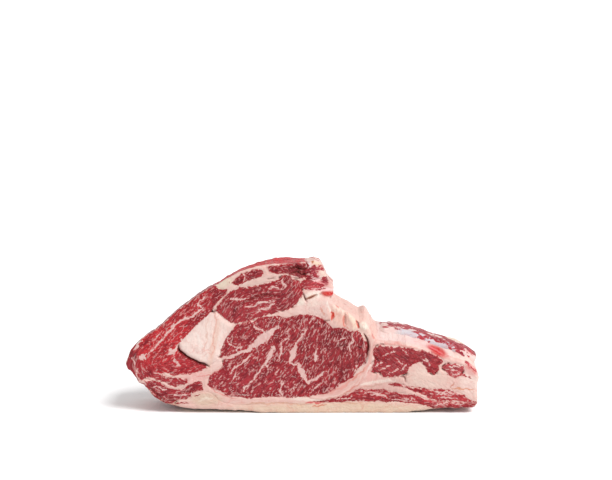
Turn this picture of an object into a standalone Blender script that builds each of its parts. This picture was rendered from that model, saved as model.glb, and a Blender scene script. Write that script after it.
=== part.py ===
"""Bone-in rib steak: raw, cut thick, standing on its back fat with a cut face to the front.

The two cut faces are 50 mm apart. Every muscle, fat layer and bone runs right through
from the front face to the back face, so each one is a prism whose outline drifts a
little with depth. Outlines are drawn in millimetres on the front face: u runs to the
right from the middle of the steak and v runs up from the surface it rests on.
"""

import math

import bmesh
import bpy
from mathutils import Vector
from mathutils.geometry import delaunay_2d_cdt

# Driving dimensions, metres
LENGTH = 0.308       # cap muscle's tip to the sawn rib end
HEIGHT = 0.136       # resting fat to the top of the chine
THICKNESS = 0.050    # front cut face to back cut face
SEAM_GAP = 0.0003    # between neighbouring pieces
EDGE_ROUND = 0.0024  # rounding where a cut face meets the outer skin
RIM_ROUND = 0.0010   # rounding of a muscle's rim on the cut face
RIB_RISE = 0.0095    # how far the rib stands above the front edge, behind it
CAP_FALL = 0.0075    # how far the left shoulder falls from front to back
CHINE_FALL = 0.0056  # how far the chine's top falls from front to back
HEEL_LIFT = 0.0025   # the left underside's lift at both cut faces
KERNEL_PROUD = 0.0012  # the kernel stands this far out of both cut faces
CHINE_SETBACK = 0.0080  # the chine's front face leans back towards its right edge
CHINE_BACK_SETBACK = 0.0048  # and its back face leans forward by this
CUT_WAVE = 0.0008    # half the depth of the cut faces' slow waves

# Extent of the face drawing, millimetres, which LENGTH and HEIGHT are spread over
FACE_LEFT = -154.0
FACE_RIGHT = 153.5
FACE_TOP = 134.0

# Lengths of those waves over 2 pi, millimetres along u and v
FRONT_WAVE_LENGTHS = (33.0, 27.0)
BACK_WAVE_LENGTHS = (29.0, 23.0)

# Depths, as fractions of the thickness, where the drifting outlines may bend
STATIONS = (0.0, 0.25, 0.5, 0.75, 1.0)
RISE_PROFILE = (0.0, 0.55, 0.92, 1.0, 0.72)
FALL_PROFILE = (0.0, 0.25, 0.5, 0.75, 1.0)
HEEL_PROFILE = (1.0, 0.0, 0.0, 0.0, 1.0)
CUTTER_REACH = 0.24  # how far a cutter runs past both cut faces, as a fraction

OUTLINE_STEP = 5.4   # millimetres between neighbouring points of an outline
CURVE_FINENESS = 24  # points on each span of a curve before it is stepped evenly
FACE_STEP = 15.0     # millimetres between the inner points of a cut face
FACE_MARGIN = 6.75   # the inner points stay this far from the outline, millimetres
TINY = 1e-6
WALL_TILT = 0.45     # a face whose normal leans less than this to the front is a side wall
FLAT_ENOUGH = math.radians(2.0)

# The steak's whole outline on its front face, clockwise from the cap muscle's tip
BODY = [
    (-154, 44), (-151.5, 52), (-148, 58), (-141, 65.5), (-132, 71), (-122, 78.5), (-110, 89),
    (-97, 99.5), (-84, 108), (-72, 114.5), (-60, 121.5), (-50, 126), (-40, 129), (-30, 130.5),
    (-15, 131), (-4, 132.3), (4, 133), (11, 134), (15.5, 131.5), (18, 127), (20.5, 121.5),
    (22.5, 115), (26.5, 110.5), (27, 105.5), (24, 101.5), (24.5, 98), (31, 93.5), (39, 88.5),
    (44, 84), (47.5, 80), (53, 80), (57.5, 75.5), (61, 67), (66, 63), (79, 62), (92, 60),
    (104, 56.8), (115, 52.8), (124, 49.5), (134, 47), (143, 44.5), (150, 40), (153.5, 33),
    (152.3, 23), (152.5, 12), (151, 5.5), (138, 4.6), (120, 4.2), (109, 3), (98, 1.4), (88, 0.5),
]
BODY_HEEL = [
    (-58, 0.7), (-78, 1.2), (-94, 1.8), (-104, 2.9), (-112, 4.9), (-120, 7.2), (-127, 11.5),
    (-134, 19), (-136.5, 23.5), (-143, 27), (-146.5, 34), (-151.5, 38.5),
]
REST_LEFT = -40.0    # the flat resting strip of the underside
REST_RIGHT = 80.0

KERNEL = [
    (-107, 57), (-100, 50.8), (-91, 46), (-82, 42.3), (-77.5, 45), (-72.5, 48.5), (-72, 54),
    (-69, 61), (-66, 68), (-60, 75.5), (-57.5, 79.5), (-63, 80.3), (-69, 85), (-74.5, 90),
    (-79, 89.3), (-84, 84.5), (-91, 78.5), (-98, 71), (-103, 66), (-107, 61.5),
]
RIB_EYE = [
    (-58.5, 78.3), (-50, 80), (-44, 81.2), (-38, 83.8), (-29, 85.2), (-20, 85.6), (-14.8, 83.2),
    (-8, 86), (3, 87.3), (15, 86.3), (18, 83), (22.5, 79), (26.5, 74.8), (31, 75.4), (38, 75),
    (43.5, 71.5), (47, 75), (50.3, 69.5), (54.5, 64.8), (56.8, 60), (56.5, 50), (53, 43),
    (47, 38.3), (41.5, 30), (34, 26), (27, 20.5), (16, 16.5), (0, 15), (-30, 14.6), (-48, 13.2),
    (-60, 14.2), (-72, 18.5), (-82, 23.8), (-82.5, 29), (-79, 34.8), (-72.5, 38.8), (-69, 43),
    (-69.5, 48), (-72.5, 52), (-71, 60), (-66.5, 68),
]
UPPER_MUSCLE = [
    (-75, 90), (-72, 97), (-66, 103.8), (-60, 108.3), (-52, 111.8), (-45, 111.6), (-38, 113.4),
    (-29, 115.8), (-21, 118), (-18.5, 121), (-13, 121.6), (-8, 118.2), (-2.5, 116.5), (-1, 111),
    (0, 106), (-1.6, 101), (-5.5, 95.5), (-12, 92), (-24, 88.2), (-33, 86.6), (-39, 84.6),
    (-44, 81.5), (-50, 79.5), (-57, 79), (-64, 79.5), (-70, 84.5),
]
SPINDLE_MUSCLE = [
    (-60.5, 114.8), (-57.5, 119.5), (-51.5, 123), (-45, 125.3), (-38.5, 126.9), (-34.3, 126.2),
    (-32.6, 121.6), (-36, 119.3), (-43, 118.8), (-48.5, 117), (-52.5, 114.3), (-56.5, 112.6),
]
CREST_MUSCLE = [
    (-31.5, 128), (-31, 142), (1, 145), (3, 136), (2, 132), (4.6, 128.5), (4.4, 124),
    (1.5, 119.7), (-5, 119.5), (-10, 122.5), (-18, 123.2), (-25, 123), (-30, 125),
]
CHINE_BONE = [
    (0.6, 105), (2, 101), (5, 100.8), (11, 104.2), (17, 104.8), (22, 102.4), (30, 101.2),
    (40, 106), (36, 122), (30, 148), (0, 147), (1, 137), (0.5, 132), (3, 128), (3, 123.5),
    (0, 119), (-2, 116), (-1.5, 110),
]
CAP_MUSCLE = [
    (-76, 112), (-70, 109.6), (-64, 109), (-65.5, 106), (-70.5, 101), (-76, 95.4), (-79.5, 89),
    (-84, 84), (-91, 78), (-98, 70.5), (-103, 65.5), (-106.5, 61), (-106, 57), (-99, 50.5),
    (-90, 45.5), (-82, 42.3), (-85, 39.4), (-92, 37), (-100, 35), (-108, 34), (-116, 35),
    (-122, 36.6), (-121, 34.2), (-115, 31.8), (-107, 30.9), (-99.5, 30), (-98.5, 27.3),
    (-103, 25.2), (-108, 23.8), (-113, 24), (-118, 26.3), (-124, 29.6), (-130, 31), (-137, 31),
    (-143, 25.5), (-150, 20), (-175, 30), (-172, 60), (-120, 100), (-85, 125),
]
LOWER_MUSCLE = [
    (-143.5, 24), (-137.5, 29.3), (-130, 29), (-124, 27), (-118.5, 23.4), (-113, 20.8),
    (-107, 21.4), (-99, 25), (-91, 28), (-86, 27), (-86.5, 22), (-93, 19.8), (-99, 17),
    (-97, 13.2), (-103, 11.2), (-109, 9.8), (-112, 6.5), (-113, -8), (-150, -5),
]
INTERCOSTAL_MUSCLE = [
    (61.5, 52), (62.5, 57), (66.5, 60), (79, 59.4), (92, 57.4), (104, 55), (113, 52.8),
    (119, 49), (123, 45.4), (118, 42.4), (118, 37.5), (115, 33.8), (110.5, 35.5), (105, 43),
    (101, 46.5), (98, 43.6), (91.6, 42), (92, 36), (88.5, 33), (79, 32.8), (70, 32), (67, 36),
    (58.5, 35), (61.5, 42), (63, 46.5),
]
END_MUSCLE = [
    (121.5, 39.5), (125.5, 43.6), (131, 44), (137, 43), (141.5, 41), (140, 36), (135, 31.2),
    (130, 32), (125.5, 36),
]
UPPER_STRIP = [
    (75, 25.6), (82, 26.3), (88, 25.3), (94, 23.2), (101, 22.6), (109, 21.3), (124, 20.8),
    (133, 19.5), (140, 16.2), (147, 11.5), (153, 9), (165, 9), (165, 6.6), (151, 6.9),
    (144, 9.8), (135, 11.2), (124, 12), (114, 12.8), (107, 15.2), (101, 18.5), (92, 21.4),
    (82, 24),
]
LOWER_STRIP = [
    (8, 9.8), (20, 11.2), (31, 13.4), (39, 17), (47, 20.8), (57, 21.2), (67, 20.2), (79, 18.4),
    (92, 16.2), (102, 14.6), (108.5, 11.6), (120, 10.7), (133, 10), (143, 8.6), (151, 5.6),
    (165, 5.4), (165, -4), (125, -4), (114, 5.2), (104, 7.5), (92, 9.2), (76, 9.9), (58, 10.5),
    (40, 10.4), (22, 9.2),
]
BACK_FAT = [
    (-117, -10), (-113, 5), (-101, 8), (-97.5, 12), (-91, 17.6), (-83, 19.2), (-77, 15),
    (-72, 9), (-64, 6.4), (-50, 5.4), (-38, 7.2), (-27, 8.4), (-14, 8.3), (0, 7.3), (16, 7.7),
    (40, 9.2), (60, 9.8), (80, 10), (96, 10), (110, 10), (124, 8), (126, -10),
]
UPPER_FAT = [
    (-90, 104), (-79, 92), (-76.8, 89.5), (-60, 96), (-20, 105), (-9, 117), (-4, 112),
    (8, 112), (8, 140), (-40, 150), (-90, 130),
]

# The rib: its top line from the mound to the sawn end, with heights at mid depth
RIB_TOP = [
    (64, 73.2), (71, 74.6), (82, 73.8), (93, 71.6), (104, 68.4), (115, 64.4), (126, 61.6),
    (137, 58.2), (146, 52.6), (153.5, 47),
]
RIB_DEEP = 12.0      # across the rib in the plane of the face, millimetres
RIB_HALF_WIDTH = 15.0  # half its width from front to back
RIB_MIDDLE = 3.0     # its centre line lies this far behind the middle of the steak
RIB_SIDES = 14
RIB_STEP = 7.5       # millimetres between the rib's rings
RIB_ROOT_SHARE = 0.72  # the rib's size where it enters the mound
RIB_SQUARENESS = 0.75  # below 1 the rib's oval section is squarer
RIB_CUT_REACH = 0.004  # the rib's cutter runs this far past the sawn end, metres


def smooth(value, low, high):
    """Climb from 0 at low to 1 at high."""
    t = min(1.0, max(0.0, (value - low) / (high - low)))
    return t * t * (3.0 - 2.0 * t)


def along(profile, depth):
    """Read a depth profile, and carry its end slopes on past both cut faces."""
    spans = len(STATIONS) - 1
    index = min(spans - 1, max(0, int(depth * spans)))
    start = STATIONS[index]
    t = (depth - start) / (STATIONS[index + 1] - start)
    return profile[index] * (1.0 - t) + profile[index + 1] * t


def drift(u, v, depth):
    """Sideways and upward shift, in metres, of a face point at a depth fraction."""
    rib = smooth(v, 25, 58) * smooth(u, 32, 66) * (1.0 - 0.55 * smooth(u, 138, 153))
    shoulder = smooth(v, 25, 62) * smooth(-u, -20, 62)
    chine = smooth(v, 105, 125) * smooth(u, -20, 5)
    heel = (1.0 - smooth(v, 4, 20)) * smooth(-u, 18, 60)
    tip = smooth(-u, 118, 152)
    rise = RIB_RISE * rib * along(RISE_PROFILE, depth)
    fall = (CAP_FALL * shoulder + CHINE_FALL * chine) * along(FALL_PROFILE, depth)
    lift = HEEL_LIFT * heel * along(HEEL_PROFILE, depth)
    return 0.5 * CAP_FALL * tip * along(FALL_PROFILE, depth), rise - fall + lift


def front_relief(u, v):
    """How far the front cut face lies behind the flat front plane, metres."""
    chine = CHINE_SETBACK * smooth(u, 2, 26) * smooth(v, 99, 109)
    long_u, long_v = FRONT_WAVE_LENGTHS
    return chine + CUT_WAVE * (1.0 + math.sin(u / long_u) * math.cos(v / long_v))


def back_relief(u, v):
    """How far the back cut face lies in front of the flat back plane, metres."""
    chine = CHINE_BACK_SETBACK * smooth(u, 4, 26) * smooth(v, 99, 109)
    long_u, long_v = BACK_WAVE_LENGTHS
    return chine + CUT_WAVE * (1.0 + math.cos(u / long_u) * math.sin(v / long_v))


def place(u, v, y):
    """Turn a face point and a depth in metres from the middle into a position."""
    shift, rise = drift(u, v, y / THICKNESS + 0.5)
    x = (u - 0.5 * (FACE_LEFT + FACE_RIGHT)) * LENGTH / (FACE_RIGHT - FACE_LEFT) + shift
    return Vector((x, y, v * HEIGHT / FACE_TOP + rise))


def curve_through(points, step=OUTLINE_STEP, closed=True):
    """Even steps along a rounded curve through the points."""
    fine = []
    count = len(points)
    for i in range(count if closed else count - 1):
        if closed:
            a, b, c, d = (Vector(points[(i + k) % count]) for k in (-1, 0, 1, 2))
        else:
            a, b, c, d = (Vector(points[min(count - 1, max(0, i + k))]) for k in (-1, 0, 1, 2))
        for k in range(CURVE_FINENESS):
            t = k / CURVE_FINENESS
            fine.append(0.5 * ((2 * b) + (c - a) * t + (2 * a - 5 * b + 4 * c - d) * t * t
                               + (3 * b - a - 3 * c + d) * t * t * t))
    fine.append(Vector(points[0]) if closed else Vector(points[-1]))
    total = sum((fine[i + 1] - fine[i]).length for i in range(len(fine) - 1))
    wanted = max(8, round(total / step))
    spots = []
    walked = 0.0
    for i in range(len(fine) - 1):
        length = (fine[i + 1] - fine[i]).length
        while len(spots) < wanted and walked + length >= len(spots) * total / wanted - TINY:
            t = (len(spots) * total / wanted - walked) / max(length, TINY)
            spots.append(fine[i].lerp(fine[i + 1], min(1.0, max(0.0, t))))
        walked += length
    return spots if closed else spots + [fine[-1]]


def body_outline():
    """The steak's outline, its resting strip straight."""
    upper = curve_through(BODY + [(REST_RIGHT, 0)], closed=False)
    steps = round((REST_RIGHT - REST_LEFT) / (3 * OUTLINE_STEP))
    strip = [Vector((REST_RIGHT + (REST_LEFT - REST_RIGHT) * k / steps, 0.0))
             for k in range(1, steps)]
    heel = curve_through([(REST_LEFT, 0)] + BODY_HEEL + [BODY[0]], closed=False)
    return upper + strip + heel[:-1]


def counter_clockwise(outline):
    area = sum(outline[i - 1].x * outline[i].y - outline[i].x * outline[i - 1].y
               for i in range(len(outline)))
    return outline if area > 0 else outline[::-1]


def grown(outline, amount):
    """The outline moved outward by an amount in millimetres."""
    moved = []
    for i, point in enumerate(outline):
        before = (point - outline[i - 1]).normalized()
        after = (outline[(i + 1) % len(outline)] - point).normalized()
        out = Vector((before.y + after.y, -before.x - after.x)).normalized()
        slant = max(0.6, out.dot(Vector((before.y, -before.x))))
        moved.append(point + out * amount / slant)
    return moved


def inside(point, outline):
    hit = False
    for i, a in enumerate(outline):
        b = outline[i - 1]
        if (a.y > point.y) != (b.y > point.y):
            if point.x < (b.x - a.x) * (point.y - a.y) / (b.y - a.y) + a.x:
                hit = not hit
    return hit


def edge_distance(point, outline):
    nearest = 1e9
    for i, a in enumerate(outline):
        b = outline[i - 1]
        t = (point - a).dot(b - a) / max((b - a).length_squared, TINY)
        nearest = min(nearest, (point - a.lerp(b, min(1.0, max(0.0, t)))).length)
    return nearest


def face_fill(outline):
    """Triangles over a cut face: the outline's points first, then an even inner grid."""
    points = list(outline)
    row = 0
    v = min(p.y for p in outline) + 0.5 * FACE_STEP
    while v < max(p.y for p in outline):
        u = min(p.x for p in outline) + 0.5 * FACE_STEP * (1 + row % 2)
        while u < max(p.x for p in outline):
            spot = Vector((u, v))
            if inside(spot, outline) and edge_distance(spot, outline) > FACE_MARGIN:
                points.append(spot)
            u += FACE_STEP
        v += math.sqrt(0.75) * FACE_STEP
        row += 1
    ring = [(i, (i + 1) % len(outline)) for i in range(len(outline))]
    verts, _, faces, _, _, _ = delaunay_2d_cdt(points, ring, [], 1, TINY)
    if len(verts) != len(points):
        raise ValueError("an outline crosses itself")
    return points, faces


def prism(name, outline, rim, front=front_relief, back=back_relief, proud=0.0):
    """A piece between the cut faces, with rims rounded by rim and the skin following drift."""
    outline = counter_clockwise(outline)
    rim_mm = rim * 1000.0
    mesh = bmesh.new()
    rings = []

    def add_ring(inset, depth_of):
        loop = grown(outline, -inset * rim_mm)
        rings.append([mesh.verts.new(place(p.x, p.y, depth_of(p.x, p.y))) for p in loop])
        return loop

    def front_depth(extra):
        return lambda u, v: -0.5 * THICKNESS + front(u, v) - proud + extra * rim

    def back_depth(extra):
        return lambda u, v: 0.5 * THICKNESS - back(u, v) + proud - extra * rim

    front_loop = add_ring(1.0, front_depth(0.0))
    add_ring(0.0, front_depth(1.0))
    for station in STATIONS[1:-1]:
        add_ring(0.0, lambda u, v, d=station: (d - 0.5) * THICKNESS)
    add_ring(0.0, back_depth(1.0))
    add_ring(1.0, back_depth(0.0))
    join_rings(mesh, rings)
    points, faces = face_fill(front_loop)
    inner = points[len(outline):]
    for ring, depth_of, flip in ((rings[0], front_depth(0.0), False),
                                 (rings[-1], back_depth(0.0), True)):
        corners = ring + [mesh.verts.new(place(p.x, p.y, depth_of(p.x, p.y))) for p in inner]
        for face in faces:
            loop = [corners[i] for i in face]
            mesh.faces.new(loop[::-1] if flip else loop)
    return finish(name, mesh)


def join_rings(mesh, rings):
    count = len(rings[0])
    for near, far in zip(rings, rings[1:]):
        for i in range(count):
            j = (i + 1) % count
            mesh.faces.new((near[j], near[i], far[i]))
            mesh.faces.new((near[j], far[i], far[j]))


def cutter(name, outline, gap=0.0):
    """A plain prism that runs past both cut faces, grown by gap metres."""
    outline = grown(counter_clockwise(outline), gap * 1000.0)
    mesh = bmesh.new()
    rings = []
    for station in (-CUTTER_REACH,) + STATIONS[1:-1] + (1.0 + CUTTER_REACH,):
        y = (station - 0.5) * THICKNESS
        rings.append([mesh.verts.new(place(p.x, p.y, y)) for p in outline])
    join_rings(mesh, rings)
    _, _, faces, _, _, _ = delaunay_2d_cdt(outline, [(i, (i + 1) % len(outline))
                                                     for i in range(len(outline))], [], 1, TINY)
    for face in faces:
        mesh.faces.new([rings[0][i] for i in face])
        mesh.faces.new([rings[-1][i] for i in face][::-1])
    tool = finish(name, mesh)
    tool.hide_render = True
    tool.display_type = 'WIRE'
    return tool


def finish(name, mesh):
    bmesh.ops.recalc_face_normals(mesh, faces=mesh.faces[:])
    data = bpy.data.meshes.new(name)
    mesh.to_mesh(data)
    mesh.free()
    item = bpy.data.objects.new(name, data)
    bpy.context.scene.collection.objects.link(item)
    return item


def carve(item, tools, operation='DIFFERENCE'):
    """Apply a Boolean with each tool in turn, and keep the largest piece that is left."""
    for tool in tools:
        modifier = item.modifiers.new(tool.name, 'BOOLEAN')
        modifier.operation = operation
        modifier.solver = 'EXACT'
        modifier.object = tool
        evaluated = item.evaluated_get(bpy.context.evaluated_depsgraph_get())
        data = bpy.data.meshes.new_from_object(evaluated)
        item.modifiers.clear()
        old = item.data
        item.data = data
        data.name = item.name
        bpy.data.meshes.remove(old)
    keep_largest(item)


def keep_largest(item):
    mesh = bmesh.new()
    mesh.from_mesh(item.data)
    bmesh.ops.triangulate(mesh, faces=mesh.faces[:])
    waiting = set(mesh.faces)
    groups = []
    while waiting:
        stack = [waiting.pop()]
        group = []
        while stack:
            face = stack.pop()
            group.append(face)
            for edge in face.edges:
                for other in edge.link_faces:
                    if other in waiting:
                        waiting.remove(other)
                        stack.append(other)
        groups.append(group)
    groups.sort(key=lambda faces: sum(f.calc_area() for f in faces))
    for group in groups[:-1]:
        bmesh.ops.delete(mesh, geom=group, context='FACES')
    loose = [vert for vert in mesh.verts if not vert.link_faces]
    bmesh.ops.delete(mesh, geom=loose, context='VERTS')
    bmesh.ops.dissolve_degenerate(mesh, dist=TINY, edges=mesh.edges[:])
    mesh.normal_update()
    walls = [vert for vert in mesh.verts
             if all(abs(face.normal.y) < WALL_TILT for face in vert.link_faces)]
    edges = [edge for edge in mesh.edges
             if all(abs(face.normal.y) < WALL_TILT for face in edge.link_faces)]
    bmesh.ops.dissolve_limit(mesh, angle_limit=FLAT_ENOUGH, verts=walls, edges=edges)
    bmesh.ops.triangulate(mesh, faces=mesh.faces[:])
    mesh.to_mesh(item.data)
    mesh.free()


def rib_bar(name, gap=0.0):
    """The rib: an oval bar under its curved top line, sawn off at the right end."""
    line = curve_through(RIB_TOP, step=RIB_STEP, closed=False)
    half_deep = 0.0005 * RIB_DEEP + gap
    half_wide = 0.001 * RIB_HALF_WIDTH + gap
    mesh = bmesh.new()
    rings = []
    for i, point in enumerate(line):
        ahead = line[min(i + 1, len(line) - 1)] - line[max(i - 1, 0)]
        up = Vector((-ahead.y, ahead.x)).normalized()
        end = i == len(line) - 1
        shrink = RIB_ROOT_SHARE if i == 0 else 1.0
        past = RIB_CUT_REACH if end and gap else (-gap if i == 0 else 0.0)
        top = Vector((place(point.x, 0.0, 0.0).x, 0.0, 0.001 * point.y))
        middle = top - Vector((up.x, 0.0, up.y)) * (0.0005 * RIB_DEEP)
        middle += Vector((ahead.x, 0.0, ahead.y)).normalized() * past
        ring = []
        for k in range(RIB_SIDES):
            turn = 2.0 * math.pi * k / RIB_SIDES
            wide = math.copysign(abs(math.cos(turn)) ** RIB_SQUARENESS, math.cos(turn))
            deep = math.copysign(abs(math.sin(turn)) ** RIB_SQUARENESS, math.sin(turn))
            across = Vector((0.0, 0.001 * RIB_MIDDLE + wide * half_wide * shrink, 0.0))
            lift = Vector((up.x, 0.0, up.y)) * (deep * half_deep * shrink)
            ring.append(mesh.verts.new(middle + across + lift))
        rings.append(ring)
    join_rings(mesh, rings)
    mesh.faces.new(rings[0])
    mesh.faces.new(rings[-1][::-1])
    return finish(name, mesh)


def material(name, colour, roughness, metallic=0.0):
    made = bpy.data.materials.new(name)
    made.use_nodes = True
    shader = made.node_tree.nodes["Principled BSDF"]
    shader.inputs["Base Color"].default_value = (*colour, 1.0)
    shader.inputs["Roughness"].default_value = roughness
    shader.inputs["Metallic"].default_value = metallic
    made.diffuse_color = (*colour, 1.0)
    return made


def clear_scene():
    for item in list(bpy.data.objects):
        bpy.data.objects.remove(item, do_unlink=True)


def rest_and_centre(items):
    """Stand the steak on the ground with the middle of its box over the origin."""
    corners = [vert.co for item in items for vert in item.data.vertices]
    middle_x = 0.5 * (min(c.x for c in corners) + max(c.x for c in corners))
    middle_y = 0.5 * (min(c.y for c in corners) + max(c.y for c in corners))
    shift = Vector((-middle_x, -middle_y, -min(c.z for c in corners)))
    for item in items:
        for vert in item.data.vertices:
            vert.co += shift


def build():
    clear_scene()
    body = body_outline()
    outlines = {
        "fat_kernel": curve_through(KERNEL),
        "rib_eye": curve_through(RIB_EYE),
        "upper_muscle": curve_through(UPPER_MUSCLE),
        "spindle_muscle": curve_through(SPINDLE_MUSCLE),
        "intercostal_muscle": curve_through(INTERCOSTAL_MUSCLE),
        "end_muscle": curve_through(END_MUSCLE),
        "cap_muscle": curve_through(CAP_MUSCLE),
        "lower_muscle": curve_through(LOWER_MUSCLE),
        "crest_muscle": curve_through(CREST_MUSCLE),
        "chine_bone": curve_through(CHINE_BONE),
        "upper_strip": curve_through(UPPER_STRIP),
        "lower_strip": curve_through(LOWER_STRIP),
        "back_fat": curve_through(BACK_FAT),
        "upper_fat": curve_through(UPPER_FAT),
    }
    # Pieces that reach the outer skin take it from the whole steak; the others stand alone
    whole = ("cap_muscle", "lower_muscle", "crest_muscle", "chine_bone", "upper_strip",
             "lower_strip", "back_fat", "upper_fat")
    rib = rib_bar("rib_bone")
    rib_cutter = rib_bar("cut_rib_bone", SEAM_GAP)
    rib_cutter.hide_render = True
    rib_cutter.display_type = 'WIRE'
    pieces = {}
    cutters = [rib_cutter]
    for name, outline in outlines.items():
        if name in whole:
            piece = prism(name, body, EDGE_ROUND)
            region = cutter("region_" + name, outline)
            carve(piece, [region], 'INTERSECT')
            bpy.data.objects.remove(region, do_unlink=True)
        else:
            proud = KERNEL_PROUD if name == "fat_kernel" else 0.0
            piece = prism(name, outline, RIM_ROUND, proud=proud)
        carve(piece, cutters)
        pieces[name] = piece
        cutters.append(cutter("cut_" + name, outline, SEAM_GAP))
    seam_fat = prism("seam_fat", body, EDGE_ROUND)
    carve(seam_fat, cutters)
    pieces["seam_fat"] = seam_fat
    pieces["rib_bone"] = rib
    for tool in cutters:
        bpy.data.objects.remove(tool, do_unlink=True)
    lean = material("lean_meat", (0.36, 0.045, 0.055), 0.42)
    bright = material("bright_meat", (0.45, 0.05, 0.06), 0.40)
    pale = material("pale_fat", (0.90, 0.74, 0.66), 0.45)
    cream = material("cream_fat", (0.80, 0.62, 0.48), 0.50)
    bone = material("bone", (0.85, 0.72, 0.68), 0.40)
    finishes = {
        "rib_eye": lean, "upper_muscle": lean, "spindle_muscle": lean, "crest_muscle": lean,
        "intercostal_muscle": lean, "end_muscle": lean, "cap_muscle": bright,
        "lower_muscle": bright, "upper_strip": bright, "lower_strip": bright,
        "fat_kernel": pale, "seam_fat": pale, "upper_fat": cream, "back_fat": cream,
        "chine_bone": bone, "rib_bone": bone,
    }
    for name, piece in pieces.items():
        piece.data.materials.clear()
        piece.data.materials.append(finishes[name])
    rest_and_centre(list(pieces.values()))


build()
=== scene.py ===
"""Raw bone-in rib steak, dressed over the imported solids.

Every piece is remade as a fine mesh. The cut faces of all the pieces share one fine grid
of triangles, cut along the seams between the solids, so that neighbours meet exactly.
Face places are written as (u, v): millimetres to the right of the steak's middle, and
millimetres above the surface it stands on.
"""

import math

import bmesh
import bpy
import numpy as np
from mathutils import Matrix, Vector
from mathutils.kdtree import KDTree


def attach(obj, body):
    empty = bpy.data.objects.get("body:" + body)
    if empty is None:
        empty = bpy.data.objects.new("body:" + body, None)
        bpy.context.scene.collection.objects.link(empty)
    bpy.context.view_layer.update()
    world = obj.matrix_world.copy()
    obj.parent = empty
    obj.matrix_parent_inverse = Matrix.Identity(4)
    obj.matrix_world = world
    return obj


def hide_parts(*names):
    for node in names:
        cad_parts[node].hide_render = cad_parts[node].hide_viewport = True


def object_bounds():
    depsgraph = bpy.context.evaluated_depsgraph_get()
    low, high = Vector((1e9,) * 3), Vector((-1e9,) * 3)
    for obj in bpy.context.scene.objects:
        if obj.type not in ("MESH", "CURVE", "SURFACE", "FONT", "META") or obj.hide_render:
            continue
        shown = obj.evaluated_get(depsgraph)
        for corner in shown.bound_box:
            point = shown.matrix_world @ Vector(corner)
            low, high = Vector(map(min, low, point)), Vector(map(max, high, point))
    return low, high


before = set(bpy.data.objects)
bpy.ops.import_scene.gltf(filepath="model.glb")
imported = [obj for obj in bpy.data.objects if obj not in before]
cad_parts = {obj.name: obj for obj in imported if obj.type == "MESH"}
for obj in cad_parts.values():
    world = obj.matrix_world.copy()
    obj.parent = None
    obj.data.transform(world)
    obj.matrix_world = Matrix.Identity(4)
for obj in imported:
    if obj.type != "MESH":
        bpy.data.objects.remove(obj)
solid_box = [list(corner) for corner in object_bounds()]

# The face drawing, which the solids were made from
FACE_LEFT = -154.0
FACE_RIGHT = 153.5
FACE_TOP = 134.0
LENGTH = 0.308
HEIGHT = 0.136
THICKNESS = 0.050
MM_X = LENGTH / (FACE_RIGHT - FACE_LEFT)
MM_Z = HEIGHT / FACE_TOP

# The drift of every outline with depth, the same as the solids have
STATIONS = np.array((0.0, 0.25, 0.5, 0.75, 1.0))
RISE_PROFILE = np.array((0.0, 0.55, 0.92, 1.0, 0.72))
HEEL_PROFILE = np.array((1.0, 0.0, 0.0, 0.0, 1.0))
RIB_RISE = 0.0095
CAP_FALL = 0.0075
CHINE_FALL = 0.0056
HEEL_LIFT = 0.0025
CHINE_SETBACK = 0.0080

VIEW_TILT = math.radians(11.0)   # the camera looks down by this much

DRIFT_ROUNDS = 6     # rounds that take the drift off a point
GRID = 0.56          # millimetres between the points of the face grid
SKIN_STEP = 0.0010   # metres between the rings of the outer skin
EDGE_RINGS = 4       # rings left out for the rounded edges
SECTION_Y = -0.0140  # depth where the solids' outlines are read
SAME_SPOT = 0.5      # outline points nearer than this are one, millimetres
SHARP_TURN = 50      # corners that turn by more degrees than this stay sharp
OUTLINE_STEP = 1.4   # step between the points of the rounded outlines, millimetres
EDGE_ROUND = 2.6     # rounding of the cut faces' outer edges, millimetres
SEAM_GROOVE = 0.25   # depth of the groove along a seam, millimetres
MUSCLE_SWELL = 0.4   # how far the pieces' middles stand out, millimetres
KERNEL_STEP = 1.0    # how far the fat kernel stands out besides, millimetres
BACK_CLEFTS = 0.6    # depth of the back face's clefts, as a share of the front's
SKIN_SWELL = 0.7     # slow waves of the outer skin, millimetres
SKIN_LUMPS = 0.22    # its small lumps, millimetres
RIB_GRID = 0.0008    # size of the rib's mesh, metres
OUTSIDE_GROWTH = 0.4 # how far the pieces reach past the solids' outline, millimetres
SEAM_WAVER = 0.4     # how far the seams waver sideways, millimetres
LIGHT_GAIN = 1.33    # brightness of a white surface on the lit cut face
GLOSS_VEIL = 0.018   # light that the wet surface's gloss adds to its own colour
FAR = 30.0           # distances are worked out no further than this, millimetres
THICK_MM = 1000 * THICKNESS

SLOTS = {
    "rib_eye": "lean", "upper_muscle": "lean", "spindle_muscle": "lean", "crest_muscle": "lean",
    "cap_muscle": "bright_lean", "lower_muscle": "bright_lean", "intercostal_muscle": "lean",
    "end_muscle": "lean", "upper_strip": "bright_lean", "lower_strip": "bright_lean",
    "fat_kernel": "pale_fat", "seam_fat": "pale_fat", "upper_fat": "cream_fat",
    "back_fat": "cream_fat", "chine_bone": "bone", "rib_bone": "bone",
}
FACE_NODES = [node for node in SLOTS if node != "rib_bone"]
LEAN_NODES = [node for node in FACE_NODES if "lean" in SLOTS[node]]


def ramp(value, low, high):
    """Climb smoothly from 0 at low to 1 at high."""
    t = np.clip((value - low) / (high - low), 0.0, 1.0)
    return t * t * (3.0 - 2.0 * t)


def between(value, start, full, leave, gone):
    """Climb from 0 to 1, stay there, and fall back to 0."""
    return ramp(value, start, full) * (1 - ramp(value, leave, gone))


def srgb(red, green, blue):
    """The surface colour that the studio light shows as this screen colour, 0 to 255."""
    steps = np.array((red, green, blue)) / 255.0
    shown = np.where(steps <= 0.04045, steps / 12.92, ((steps + 0.055) / 1.055) ** 2.4)
    return np.maximum(shown - GLOSS_VEIL, 0.002) / LIGHT_GAIN


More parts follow.
